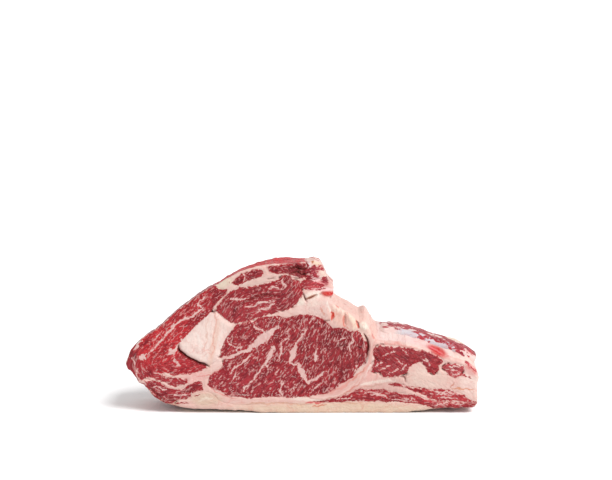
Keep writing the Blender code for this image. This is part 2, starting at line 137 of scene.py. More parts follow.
def lattice(points, seed):
    """Smooth value noise between -1 and 1 over points of three columns."""
    base = np.floor(points).astype(np.int64)
    part = points - base
    part = part * part * (3.0 - 2.0 * part)
    total = np.zeros(len(points))
    for corner in range(8):
        step = np.array((corner & 1, corner >> 1 & 1, corner >> 2 & 1))
        cell = base + step
        mixed = cell[:, 0] * 374761393 + cell[:, 1] * 668265263 + cell[:, 2] * 2147483647
        mixed = (mixed + seed * 362437) & 0x7FFFFFFF
        mixed = (mixed ^ (mixed >> 13)) * 1274126177 & 0x7FFFFFFF
        value = ((mixed ^ (mixed >> 16)) & 0xFFFF) / 32767.5 - 1.0
        weight = np.prod(np.where(step == 1, part, 1.0 - part), axis=1)
        total += value * weight
    return total


def noise(u, v, y, size, seed, octaves=3):
    """Layered noise: size is its largest feature in millimetres."""
    points = np.stack(np.broadcast_arrays(u, v, y), axis=1) / size
    total = np.zeros(len(points))
    strength = 1.0
    for octave in range(octaves):
        total += strength * lattice(points * 2.0 ** octave, seed + 17 * octave)
        strength *= 0.5
    return total


def noise_pair(u, v, y, size, seeds, octaves=3):
    """Two noises side by side, for moving face places."""
    return np.stack([noise(u, v, y, size, seed, octaves) for seed in seeds], axis=1)


def along(profile, depth):
    """Read a depth profile, and carry its end slopes on past both cut faces."""
    index = np.clip((depth * 4).astype(int), 0, 3)
    t = (depth - STATIONS[index]) * 4
    return profile[index] * (1 - t) + profile[index + 1] * t


def drift(u, v, depth):
    """Sideways and upward shift in metres, as in the solids."""
    rib = ramp(v, 25, 58) * ramp(u, 32, 66) * (1 - 0.55 * ramp(u, 138, 153))
    shoulder = ramp(v, 25, 62) * ramp(-u, -20, 62)
    chine = ramp(v, 105, 125) * ramp(u, -20, 5)
    heel = (1 - ramp(v, 4, 20)) * ramp(-u, 18, 60)
    tip = ramp(-u, 118, 152)
    rise = RIB_RISE * rib * along(RISE_PROFILE, depth)
    fall = (CAP_FALL * shoulder + CHINE_FALL * chine) * depth
    lift = HEEL_LIFT * heel * along(HEEL_PROFILE, depth)
    return 0.5 * CAP_FALL * tip * depth, rise - fall + lift


def to_world(u, v, y):
    """Face places and depths in metres as positions."""
    shift, rise = drift(u, v, y / THICKNESS + 0.5)
    x = solid_box[0][0] + (u - FACE_LEFT) * MM_X + shift
    return np.stack((x, y, v * MM_Z + rise), axis=1)


def to_face(x, z, y):
    """The face places of points at one depth: the drift taken off again."""
    depth = np.full(len(x), y / THICKNESS + 0.5)
    u = FACE_LEFT + (x - solid_box[0][0]) / MM_X
    v = z / MM_Z
    for _ in range(DRIFT_ROUNDS):
        shift, rise = drift(u, v, depth)
        u = FACE_LEFT + (x - shift - solid_box[0][0]) / MM_X
        v = (z - rise) / MM_Z
    return np.stack((u, v), axis=1)


def section_loops(node):
    """The closed outlines of a solid at SECTION_Y, as face places."""
    mesh = bmesh.new()
    mesh.from_mesh(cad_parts[node].data)
    bmesh.ops.remove_doubles(mesh, verts=mesh.verts[:], dist=1e-6)
    cut = bmesh.ops.bisect_plane(mesh, geom=mesh.verts[:] + mesh.edges[:] + mesh.faces[:],
                                 dist=1e-7, plane_co=(0, SECTION_Y, 0), plane_no=(0, 1, 0))
    links = {}
    for item in cut["geom_cut"]:
        if isinstance(item, bmesh.types.BMEdge):
            a, b = item.verts
            links.setdefault(a, []).append(b)
            links.setdefault(b, []).append(a)
    loops = []
    seen = set()
    for start in links:
        if start in seen:
            continue
        loop = [start]
        seen.add(start)
        while True:
            onward = [vert for vert in links[loop[-1]] if vert not in seen]
            if not onward:
                break
            loop.append(onward[0])
            seen.add(onward[0])
        if len(loop) > 3:
            spots = np.array([(vert.co.x, vert.co.z) for vert in loop])
            loops.append(to_face(spots[:, 0], spots[:, 1], SECTION_Y))
    mesh.free()
    return loops


def rounded(loop):
    """A closed outline with its short straight runs rounded, its sharp corners kept."""
    def unit(vectors):
        return vectors / np.linalg.norm(vectors, axis=1, keepdims=True)

    keep = [0]
    for i in range(1, len(loop)):
        if np.linalg.norm(loop[i] - loop[keep[-1]]) > SAME_SPOT:
            keep.append(i)
    loop = loop[keep]
    before = unit(loop - np.roll(loop, 1, axis=0))
    after = unit(np.roll(loop, -1, axis=0) - loop)
    tangent = unit(before + after + 1e-9)
    tangent[np.sum(before * after, axis=1) < math.cos(math.radians(SHARP_TURN))] = 0.0
    spots = []
    for i in range(len(loop)):
        j = (i + 1) % len(loop)
        length = np.linalg.norm(loop[j] - loop[i])
        count = max(1, int(math.ceil(length / OUTLINE_STEP)))
        t = (np.arange(count) / count)[:, None]
        spots.append((2 * t ** 3 - 3 * t ** 2 + 1) * loop[i]
                     + (t ** 3 - 2 * t ** 2 + t) * length * tangent[i]
                     + (3 * t ** 2 - 2 * t ** 3) * loop[j]
                     + (t ** 3 - t ** 2) * length * tangent[j])
    return np.concatenate(spots)


def loop_distance(points, loops):
    """Signed distance in millimetres to closed outlines, negative inside."""
    starts = np.concatenate(loops)
    ends = np.concatenate([np.roll(loop, -1, axis=0) for loop in loops])
    result = np.full(len(points), FAR)
    low = starts.min(axis=0) - 6.0
    high = starts.max(axis=0) + 6.0
    near = np.nonzero(np.all((points > low) & (points < high), axis=1))[0]
    span = ends - starts
    span_sq = np.maximum(np.sum(span * span, axis=1), 1e-12)
    slope = span[:, 0] / np.where(np.abs(span[:, 1]) < 1e-12, 1e-12, span[:, 1])
    for chunk in np.array_split(near, max(1, len(near) // 12000)):
        p = points[chunk]
        offset_u = p[:, 0, None] - starts[:, 0]
        offset_v = p[:, 1, None] - starts[:, 1]
        t = np.clip((offset_u * span[:, 0] + offset_v * span[:, 1]) / span_sq, 0, 1)
        gap_sq = (offset_u - t * span[:, 0]) ** 2 + (offset_v - t * span[:, 1]) ** 2
        gap = np.sqrt(np.min(gap_sq, axis=1))
        crosses = (starts[:, 1] > p[:, 1, None]) != (ends[:, 1] > p[:, 1, None])
        hits = np.sum(crosses & (offset_u < offset_v * slope), axis=1)
        result[chunk] = np.where(hits % 2 == 1, -gap, gap)
    return result


def project(points, start, end):
    """How far along a segment points lie, 0 to 1, and how far from it."""
    span = end - start
    t = np.clip((points - start) @ span / max(span @ span, 1e-9), 0, 1)
    return t, np.linalg.norm(points - start - t[:, None] * span, axis=1)


def stroke_distance(points, strokes):
    """Distance in millimetres to the nearest stroke's edge, negative on a stroke.

    A stroke is a list of (u, v, half width) or a (half width, (u, v), ...) line."""
    result = np.full(len(points), FAR)
    for stroke in strokes:
        path = stroke_path(stroke)
        low = path[:, :2].min(axis=0) - 7.0
        high = path[:, :2].max(axis=0) + 7.0
        near = np.nonzero(np.all((points > low) & (points < high), axis=1))[0]
        p = points[near]
        best = result[near]
        for start, end in zip(path[:-1], path[1:]):
            t, gap = project(p, start[:2], end[:2])
            best = np.minimum(best, gap - start[2] - t * (end[2] - start[2]))
        result[near] = best
    return result


def stroke_path(stroke):
    """A stroke's points, rounded between the ones it is given by."""
    if not isinstance(stroke[0], tuple):
        width = stroke[0]
        stroke = [(u, v, width) for u, v in stroke[1:]]
        stroke[0] = stroke[0][:2] + (0.35 * width,)
        stroke[-1] = stroke[-1][:2] + (0.35 * width,)
    knots = np.array(stroke, dtype=float)
    spots = []
    last = len(knots) - 1
    for i in range(last):
        a, b, c, d = (knots[min(last, max(0, i + k))] for k in (-1, 0, 1, 2))
        for t in (0.0, 0.33, 0.67):
            spots.append(0.5 * (2 * b + (c - a) * t + (2 * a - 5 * b + 4 * c - d) * t * t
                                + (3 * b - a - 3 * c + d) * t ** 3))
    spots.append(knots[-1])
    return np.array(spots)


def face_grid(outlines):
    """The shared triangles: points, corner indices and the piece each triangle is of."""
    row_step = GRID * math.sqrt(3) / 2
    rows = int((FACE_TOP + 10) / row_step)
    columns = int((FACE_RIGHT - FACE_LEFT + 8) / GRID)
    column, row = np.meshgrid(np.arange(columns), np.arange(rows))
    u = FACE_LEFT - 4 + (column + 0.5 * (row % 2)) * GRID
    v = -3 + row * row_step
    points = np.stack((u.ravel(), v.ravel()), axis=1)
    index = np.arange(rows * columns).reshape(rows, columns)
    a, b = index[:-1, :-1], index[:-1, 1:]
    c, d = index[1:, :-1], index[1:, 1:]
    even = (np.arange(rows - 1) % 2 == 0)[:, None]
    first = np.where(even[..., None], np.stack((a, b, c), -1), np.stack((a, b, d), -1))
    second = np.where(even[..., None], np.stack((b, d, c), -1), np.stack((a, d, c), -1))
    triangles = np.concatenate((first.reshape(-1, 3), second.reshape(-1, 3)))
    wavering = points + SEAM_WAVER * noise_pair(*points.T, 0, 4.0, (3, 5), 2)
    fields = np.stack([loop_distance(wavering, outlines[node]) for node in FACE_NODES], axis=1)
    outside = OUTSIDE_GROWTH - fields.min(axis=1)
    fields = np.concatenate((fields, outside[:, None]), axis=1)
    return split_by_label(points, triangles, fields)


def directed_edges(triangles):
    """The three edges of every triangle, in the direction that it runs them."""
    return np.concatenate((triangles[:, (0, 1)], triangles[:, (1, 2)], triangles[:, (2, 0)]))


def split_by_label(points, triangles, fields):
    """Cut the triangles that cross a seam, so that each lies in one piece."""
    label = fields.argmin(axis=1)
    outside = fields.shape[1] - 1
    triangles = triangles[np.any(label[triangles] != outside, axis=1)]
    corner = label[triangles]
    same = (corner[:, 0] == corner[:, 1]) & (corner[:, 1] == corner[:, 2])
    mixed = triangles[~same]
    edges = np.unique(np.sort(directed_edges(mixed), axis=1), axis=0)
    edges = edges[label[edges[:, 0]] != label[edges[:, 1]]]
    p, q = edges[:, 0], edges[:, 1]
    gap_p = fields[p, label[p]] - fields[p, label[q]]
    gap_q = fields[q, label[p]] - fields[q, label[q]]
    t = np.clip(gap_p / (gap_p - gap_q), 0.12, 0.88)[:, None]
    count = len(points)
    middle = {}
    for number, (i, j) in enumerate(edges.tolist()):
        middle[i, j] = middle[j, i] = count + number
    points = np.concatenate((points, points[p] * (1 - t) + points[q] * t))
    extra_points = []
    out = [triangles[same]]
    out_label = [corner[same][:, 0]]
    cut = []
    cut_label = []
    for tri in mixed.tolist():
        names = [label[i] for i in tri]
        if len(set(names)) == 3:
            centre = len(points) + len(extra_points)
            corners = [points[middle[tri[k], tri[k - 1]]] for k in range(3)]
            extra_points.append(np.mean(corners, axis=0))
            for k in range(3):
                i, j, h = tri[k], tri[(k + 1) % 3], tri[k - 1]
                cut += [(i, middle[i, j], centre), (i, centre, middle[i, h])]
                cut_label += [names[k]] * 2
        else:
            k = next(k for k in range(3) if names.count(names[k]) == 1)
            i, j, h = tri[k], tri[(k + 1) % 3], tri[k - 1]
            near, far = middle[i, j], middle[i, h]
            cut += [(i, near, far), (near, j, h), (near, h, far)]
            cut_label += [names[k], names[(k + 1) % 3], names[(k + 1) % 3]]
    points = np.concatenate((points, np.array(extra_points).reshape(-1, 2)))
    triangles = np.concatenate(out + [np.array(cut)])
    labels = np.concatenate(out_label + [np.array(cut_label)])
    inside = labels != outside
    used, compact = np.unique(triangles[inside], return_inverse=True)
    return points[used], compact.reshape(-1, 3), labels[inside]


# Fat that runs through the lean: (half width, point, point, ...) or points with widths
RIB_EYE_FAT = [
    [(-70, 49, 1.5), (-62, 50.5, 1.5), (-55, 53.5, 1.2), (-48, 56, 2), (-44, 60, 2.5), (-39, 63, 3),
      (-34, 67, 3.5), (-29, 70, 3), (-26, 73, 1.5), (-21, 78, 0.5)],
    (0.6, (-57, 54.5), (-59, 58), (-62, 60), (-64, 63), (-64, 67)),
    (0.7, (-60, 58), (-55, 58.5), (-51, 60)),
    (0.9, (-42, 79), (-41.5, 76), (-38, 74.5), (-35, 73), (-34, 70)),
    (1.0, (-46, 51), (-50, 46), (-57, 42), (-61, 38.5), (-63, 35)),
    (0.9, (-57, 36), (-59, 32), (-60, 29)),
    (0.7, (-33, 43), (-37, 38.5), (-40, 34), (-42, 31), (-46, 27), (-50, 23), (-51.5, 19)),
    [(-25.5, 58, 1.2), (-27.5, 54, 1.6), (-29, 50, 1.3), (-31, 46.5, 1.1), (-31, 40.5, 0.4)],
    (0.8, (-13, 67), (-17, 64.5), (-18, 60), (-18.5, 55), (-20, 51), (-21.5, 47)),
    (0.8, (-20, 39.5), (-23, 37), (-24.5, 35), (-22.5, 33.5)),
    (0.9, (-17.5, 28), (-18.5, 25), (-19.5, 21), (-19, 17.5), (-18, 15.5)), (0.8, (-6.5, 25), (-8, 20)),
    [(-6, 62, 0.9), (-6.5, 59, 1.7), (-7.5, 55, 2.4), (-9.6, 50, 2.1), (-11, 46, 1.4), (-11.5, 44, 0.8),
      (-7, 44, 0.8), (-3, 44.5, 1), (-2, 39, 1.8), (0, 37, 2.3), (1, 33, 1.9), (3, 30, 1.4),
      (5.5, 27.5, 1.1), (8, 29.5, 0.8), (12, 30, 0.9), (15, 33, 0.8), (17, 35, 0.6), (21, 37.5, 0.5)],
    (0.7, (-7, 62), (-4, 64), (-2, 67), (0, 70), (2.5, 73), (-1, 74)),
    (1.2, (12, 57), (11, 54), (11.5, 50), (11.5, 46)), (0.6, (38, 67), (34, 65.5), (30, 64.5)),
    (0.8, (44, 72), (43, 65), (43, 63), (41.5, 61), (40, 58.5), (41, 55)),
    (0.8, (48, 43), (46.5, 41), (45.5, 38)), (0.6, (17, 27), (12, 23), (6.5, 18)),
    (0.7, (9, 86), (8, 83), (6, 80)), (1.0, (-22, 84), (-19, 82.5)), (0.6, (-12, 75), (-14, 70)),
    (1.0, (14, 80), (16, 79)),
]
CAP_FAT = [
    (0.8, (-137, 51), (-130, 57), (-126, 61), (-122, 64), (-119, 68), (-117, 71), (-114, 75), (-110, 79),
      (-105, 82.5), (-100, 84.5), (-95, 87), (-90, 90), (-86, 91)),
    (0.6, (-130, 63), (-127, 67), (-124, 72)),
    (0.7, (-87, 91), (-90, 94), (-90, 97), (-87, 100), (-85, 103), (-84, 106)),
    (0.7, (-111, 50), (-111, 46), (-109, 43), (-106, 42)),
    [(-118, 52, 0.6), (-114, 54.5, 2.4), (-110, 56.5, 2), (-108, 60, 1.4), (-105, 64, 0.6)],
    [(-141, 50, 1), (-138, 50, 1.8), (-136, 48, 0.6)],
    (0.8, (-143, 40), (-144, 36), (-143.5, 31), (-140, 28), (-136, 25)),
    (0.6, (-136, 32), (-131, 30.5), (-125, 29), (-122, 27), (-118, 24.5)),
    (0.6, (-131, 23), (-128, 24), (-125, 23), (-122, 21), (-119, 21)),
    (1.0, (-112, 16), (-106, 16.5), (-100, 15.5)), (0.6, (-128, 36), (-124, 34), (-121, 35)),
]
UPPER_FAT_LINES = [
    (0.8, (-66, 99.5), (-60, 101), (-55, 101.5), (-47, 101.5)),
    (0.8, (-50, 92), (-49, 94), (-46, 95), (-41, 95), (-38, 98), (-30, 97.5), (-26, 98)),
    (0.7, (-40, 89), (-36, 91), (-32, 92), (-29, 92.5), (-28, 95), (-25, 96)),
    (1.1, (-28.5, 99.7), (-25.5, 99.2)), (0.9, (-48, 112), (-47.5, 109)),
    (0.7, (-50, 124), (-49.5, 121), (-50.5, 117)),
    (0.9, (-17, 120), (-18, 116), (-15.5, 112), (-19, 109)), (0.7, (-30, 110), (-24, 111), (-19, 109)),
]
RIB_SIDE_FAT = [
    (0.7, (80, 48.5), (83, 46), (86, 43)), (0.5, (86, 56), (91, 52.5)), (0.6, (75, 62), (80, 58)),
    (1.3, (60, 16.5), (66, 15.8), (74, 14.5)), (0.6, (84, 14.5), (92, 12.5), (98, 12)),
    (0.6, (112, 17), (122, 17.5), (130, 16)), (0.5, (115, 8.5), (128, 8.3), (140, 7.6)),
    (0.5, (86, 24.8), (96, 22.4), (106, 20)), (0.6, (108, 19.5), (118, 19.6), (128, 18.4), (136, 16)),
    (0.5, (116, 14.6), (126, 14.2), (136, 13)), (0.6, (28, 12.2), (38, 13.4), (46, 16)),
    (0.5, (50, 19), (58, 18.8), (66, 18)), (0.5, (78, 12), (88, 11.2), (100, 9.4)),
    (0.6, (62, 41), (66, 44), (70, 45.5)), (0.6, (66, 37), (70, 40), (75, 41.5)),
    (0.5, (74, 35), (79, 38), (84, 39)), (0.5, (70, 50), (74, 53), (79, 54.5)),
    (0.6, (84, 37), (88, 40.5), (90, 43.5)), (0.7, (124, 38.5), (129, 39), (134, 37.4)),
    (0.6, (127, 42.2), (132, 41.4), (137, 41.6)), (0.6, (129, 35), (133, 34.6), (137, 36)),
    (0.7, (104, 50), (108, 47), (111, 43)),
]
TIP_FAT = [
    (1.3, (-147, 56.5), (-143.5, 61.5), (-140, 65.5)), (0.8, (-133, 20), (-129, 15.5)),
    (0.9, (-124, 11), (-118, 7.8)), (0.7, (-114, 6.4), (-108, 5.2)),
    (0.6, (-149.5, 50), (-146.5, 46), (-146, 41)),
]
FAT_STROKES = RIB_EYE_FAT + CAP_FAT + UPPER_FAT_LINES + RIB_SIDE_FAT + TIP_FAT

# Slivers of lean in the fat
LEAN_STROKES = [
    (1.3, (-108, 13), (-104, 13.6), (-101, 13)), (1.1, (-99, 17), (-97, 13.5)),
    (1.1, (-92.5, 14.5), (-90, 16.5)), (0.9, (-112, 7), (-106, 6.6), (-101, 6.2)),
    (0.6, (-63, 115.5), (-63, 114.5)), (2.2, (18.5, 117.6), (20, 116), (21.5, 114)),
    (3.0, (0, 121), (5, 123), (9, 127), (13, 128.5)), (2.2, (2, 117), (6, 119.5), (11, 124), (13, 128)),
    (1.2, (13, 129.5), (16, 129), (17.5, 128)), (2.8, (17, 117.5), (19.5, 116.5), (21.5, 114.5)),
    (3.0, (-3, 113), (4, 113.8), (11, 113.2), (17, 111.6)), (1.6, (-2, 109.5), (4, 110.4), (9, 110.6)),
    (0.5, (10, 110), (16, 109.4), (20, 108.8)), (1.1, (3, 126), (4, 130), (3, 133)),
    (2.8, (12, 126), (16, 127), (19, 125)), (1.4, (4, 118.6), (10, 119.6), (14, 121)),
    (1.5, (141, 44.5), (146, 41), (151, 36)), (1.2, (146, 46), (151, 42.5)),
    (0.8, (138, 34), (142, 33), (147, 30)),
]

# Clefts: (half width, depth, strength of the painted shade along them, points), lengths in millimetres
CLEFTS = [
    (0.9, 3.0, 1.0, (-107.8, 60), (-107.3, 56.8), (-103.5, 53.3), (-100, 50.3), (-95, 47.8), (-90, 45.2),
      (-85, 43.8), (-82, 41.8)),
    (0.8, 2.5, 0.8, (-77.5, 88.5), (-75.5, 91)), (0.8, 2.0, 0.7, (18, 80.6), (23, 82)),
    (0.7, 2.6, 0.95, (53.6, 70), (55.4, 66), (56.5, 61), (56.6, 56), (55.8, 51)),
    (0.4, 1.6, 0.4, (55.8, 51), (55, 46.5), (53.4, 43)), (0.7, 1.6, 0.5, (32, 59.3), (38, 59.8)),
    (0.6, 1.5, 0.5, (47, 59), (49.5, 58.6)),
    (0.7, 1.6, 0.5, (-53, 96.5), (-47, 99.5), (-41, 102), (-35, 104.5), (-30, 104), (-21, 103)),
    (0.7, 1.8, 0.75, (-30, 118.2), (-25, 119.3)),
    (0.9, 2.2, 0.8, (-12, 126.5), (-6, 127.8), (0, 126.6), (3, 127.6)),
    (1.0, 2.2, 0.8, (-10, 122), (-5, 124), (-1, 122.2), (3, 123)),
    (1.0, 2.0, 0.7, (-8, 119), (-3, 118.6)), (0.6, 1.8, 0.8, (0.4, 105.3), (1.7, 101), (3.2, 98.6)),
    (0.5, 1.2, 0.7, (14.6, 104.8), (16.6, 106.3)),
    (0.6, 1.5, 0.5, (-134.5, 23.5), (-129, 17.5), (-122, 10.5)),
    (0.7, 1.5, 0.7, (-106, 18.6), (-97, 18.4)), (0.6, 1.5, 0.5, (62.3, 50), (65.2, 46.7)),
    (0.7, 1.5, 0.7, (59, 43.5), (61, 46)), (0.7, 1.5, 0.7, (85.5, 32), (89, 31.3), (90, 27.5)),
    (0.5, 1.0, 0.3, (-139, 30.5), (-134, 30)), (0.5, 1.0, 0.3, (10, 10), (28, 11)),
    (0.6, 1.2, 0.7, (54.3, 83.5), (55.5, 82)), (0.4, 1.0, 0.3, (51.5, 84.5), (53.5, 81), (53, 78)),
    (0.3, 1.0, 0.25, (36, 88.5), (37.2, 83), (37, 79)), (0.3, 0.9, 0.25, (61, 80), (60.4, 76), (62, 72)),
    (0.6, 1.8, 0.6, (-6, 130), (-3, 127), (-4, 124)), (0.7, 1.8, 0.7, (-2, 125), (1, 123.5), (2, 120)),
    (0.5, 1.4, 0.6, (2.8, 100.4), (7, 102), (11.5, 104.2)),
    (0.5, 1.2, 0.5, (0, 128), (3, 131), (5.5, 135)),
    (0.4, 1.0, 0.5, (4, 116.4), (10, 117.2), (15, 118.4)),
    (0.4, 0.8, 0.4, (1, 112), (8, 112.8), (15, 111.6)),
    (0.6, 1.6, 0.8, (46, 81), (48.2, 78.5), (49, 75.5)),
]

# Paint: middle (u, v), radii (u, v), turn in degrees, strength and colour
LEAN_PAINT = [
    (10, 60, 45, 26, 0, 0.8, (148, 34, 42)), (36, 56, 22, 22, 0, 0.8, (134, 16, 22)),
    (28, 66, 16, 12, 0, 0.9, (108, 6, 10)), (-14, 24, 40, 10, 0, 0.5, (142, 36, 44)),
    (-40, 30, 45, 14, 0, 0.6, (158, 46, 56)), (-120, 62, 32, 22, 45, 0.95, (226, 30, 38)),
    (-110, 42, 22, 10, 0, 0.9, (216, 34, 42)), (-95, 95, 24, 12, 42, 0.8, (196, 26, 32)),
    (47, 69, 4, 5.5, 0, 0.9, (206, 60, 66)), (-150, 48, 7, 9, 0, 0.8, (112, 38, 36)),
    (-118, 10, 10, 4, 0, 0.7, (128, 62, 50)), (-132, 17, 9, 5, -35, 0.7, (132, 44, 40)),
    (-50, 90, 26, 12, 10, 0.8, (186, 66, 72)), (-15, 103, 16, 14, 0, 0.5, (160, 56, 62)),
    (-4, 111, 6, 6, 0, 0.8, (200, 42, 50)), (-12, 114, 5, 8, 0, 0.6, (112, 22, 28)),
    (-4, 125, 9, 8, 0, 0.85, (96, 20, 24)), (8, 124, 7, 6, 40, 0.9, (134, 50, 60)),
    (16, 129, 3, 3, 0, 1.0, (196, 40, 40)), (19.5, 116, 5, 5, 0, 1.0, (156, 48, 62)),
    (14, 125, 8, 4.5, 10, 0.9, (188, 78, 92)), (18, 129, 3.5, 2.4, 0, 1.0, (190, 30, 38)),
    (148, 41, 8, 8, 0, 1.0, (226, 92, 98)), (9, 112.5, 10, 3.5, 0, 0.9, (206, 78, 86)),
    (-50, 120, 20, 8, 20, 0.7, (150, 42, 46)), (82, 54, 26, 8, -8, 0.9, (136, 8, 14)),
    (120, 14, 34, 8, 0, 0.9, (206, 62, 66)), (60, 17, 20, 5, 0, 0.7, (192, 58, 62)),
    (132, 38, 12, 8, 0, 1.0, (206, 98, 100)), (108, 50, 8, 6, 0, 0.8, (126, 48, 58)),
    (80, 40, 22, 8, 0, 0.6, (176, 70, 74)),
]
FAT_PAINT = [
    (-86, 66, 30, 26, 0, 1.0, (250, 226, 217)), (-77, 62, 3, 24, -12, 0.5, (240, 196, 176)),
    (30, 3, 95, 7, 0, 1.0, (233, 205, 182)), (-84, 11, 15, 8, 0, 1.0, (228, 198, 178)),
    (40, 24, 50, 12, 0, 0.8, (232, 184, 175)), (59, 45, 5, 22, 0, 0.8, (238, 184, 176)),
    (10, 94, 20, 10, 0, 0.9, (246, 212, 203)), (36, 86, 16, 10, -30, 0.9, (250, 202, 186)),
    (54, 74, 8, 9, 0, 0.9, (254, 218, 204)), (9, 104, 8, 4, 10, 1.0, (252, 234, 222)),
    (22, 105, 6.5, 2.6, 0, 1.0, (204, 24, 34)), (-144, 60, 6, 7, 0, 1.0, (206, 197, 190)),
    (-122, 11, 16, 7, -30, 0.8, (206, 162, 138)), (-148, 46, 4, 6, 0, 0.8, (176, 120, 104)),
    (55, 79.5, 5, 3.4, -20, 0.9, (255, 232, 214)), (35, 92, 5, 2.6, -25, 0.8, (255, 228, 212)),
    (9, 97, 8, 3, 10, 0.7, (250, 224, 212)), (12, 113, 12, 4, 0, 0.9, (232, 138, 142)),
    (11, 118.5, 7, 3.5, 25, 0.9, (240, 196, 196)), (19, 123, 5, 5, 0, 1.0, (252, 220, 206)),
    (13, 134, 6, 4.5, 0, 1.0, (250, 216, 192)), (8.4, 134, 1.2, 2.5, 0, 0.9, (186, 104, 58)),
    (5, 131, 2.6, 3.4, 0, 0.8, (240, 220, 220)), (16, 108.4, 14, 1.8, -4, 0.9, (246, 208, 206)),
    (7, 102.4, 5, 1.4, 20, 0.8, (204, 128, 96)), (-2, 99, 4, 4, 0, 0.9, (250, 234, 220)),
    (108, 32, 20, 11, 0, 1.0, (240, 208, 196)), (146, 32, 9, 20, 0, 0.9, (252, 224, 214)),
    (-95, 32, 12, 6, 15, 0.8, (240, 186, 180)), (-68, 114, 9, 5, 30, 1.0, (236, 216, 196)),
    (-42, 116, 26, 4, 12, 0.9, (234, 200, 190)), (-111, 55, 6, 5, 0, 0.9, (246, 190, 186)),
    (-32, 70, 5, 3, 0, 0.7, (248, 190, 172)), (100, 60, 40, 3, -18, 0.6, (250, 220, 212)),
    (117, 54.8, 10.5, 4.6, -30, 1.0, (206, 22, 44)), (148, 40, 8, 7, -40, 0.8, (238, 170, 166)),
]
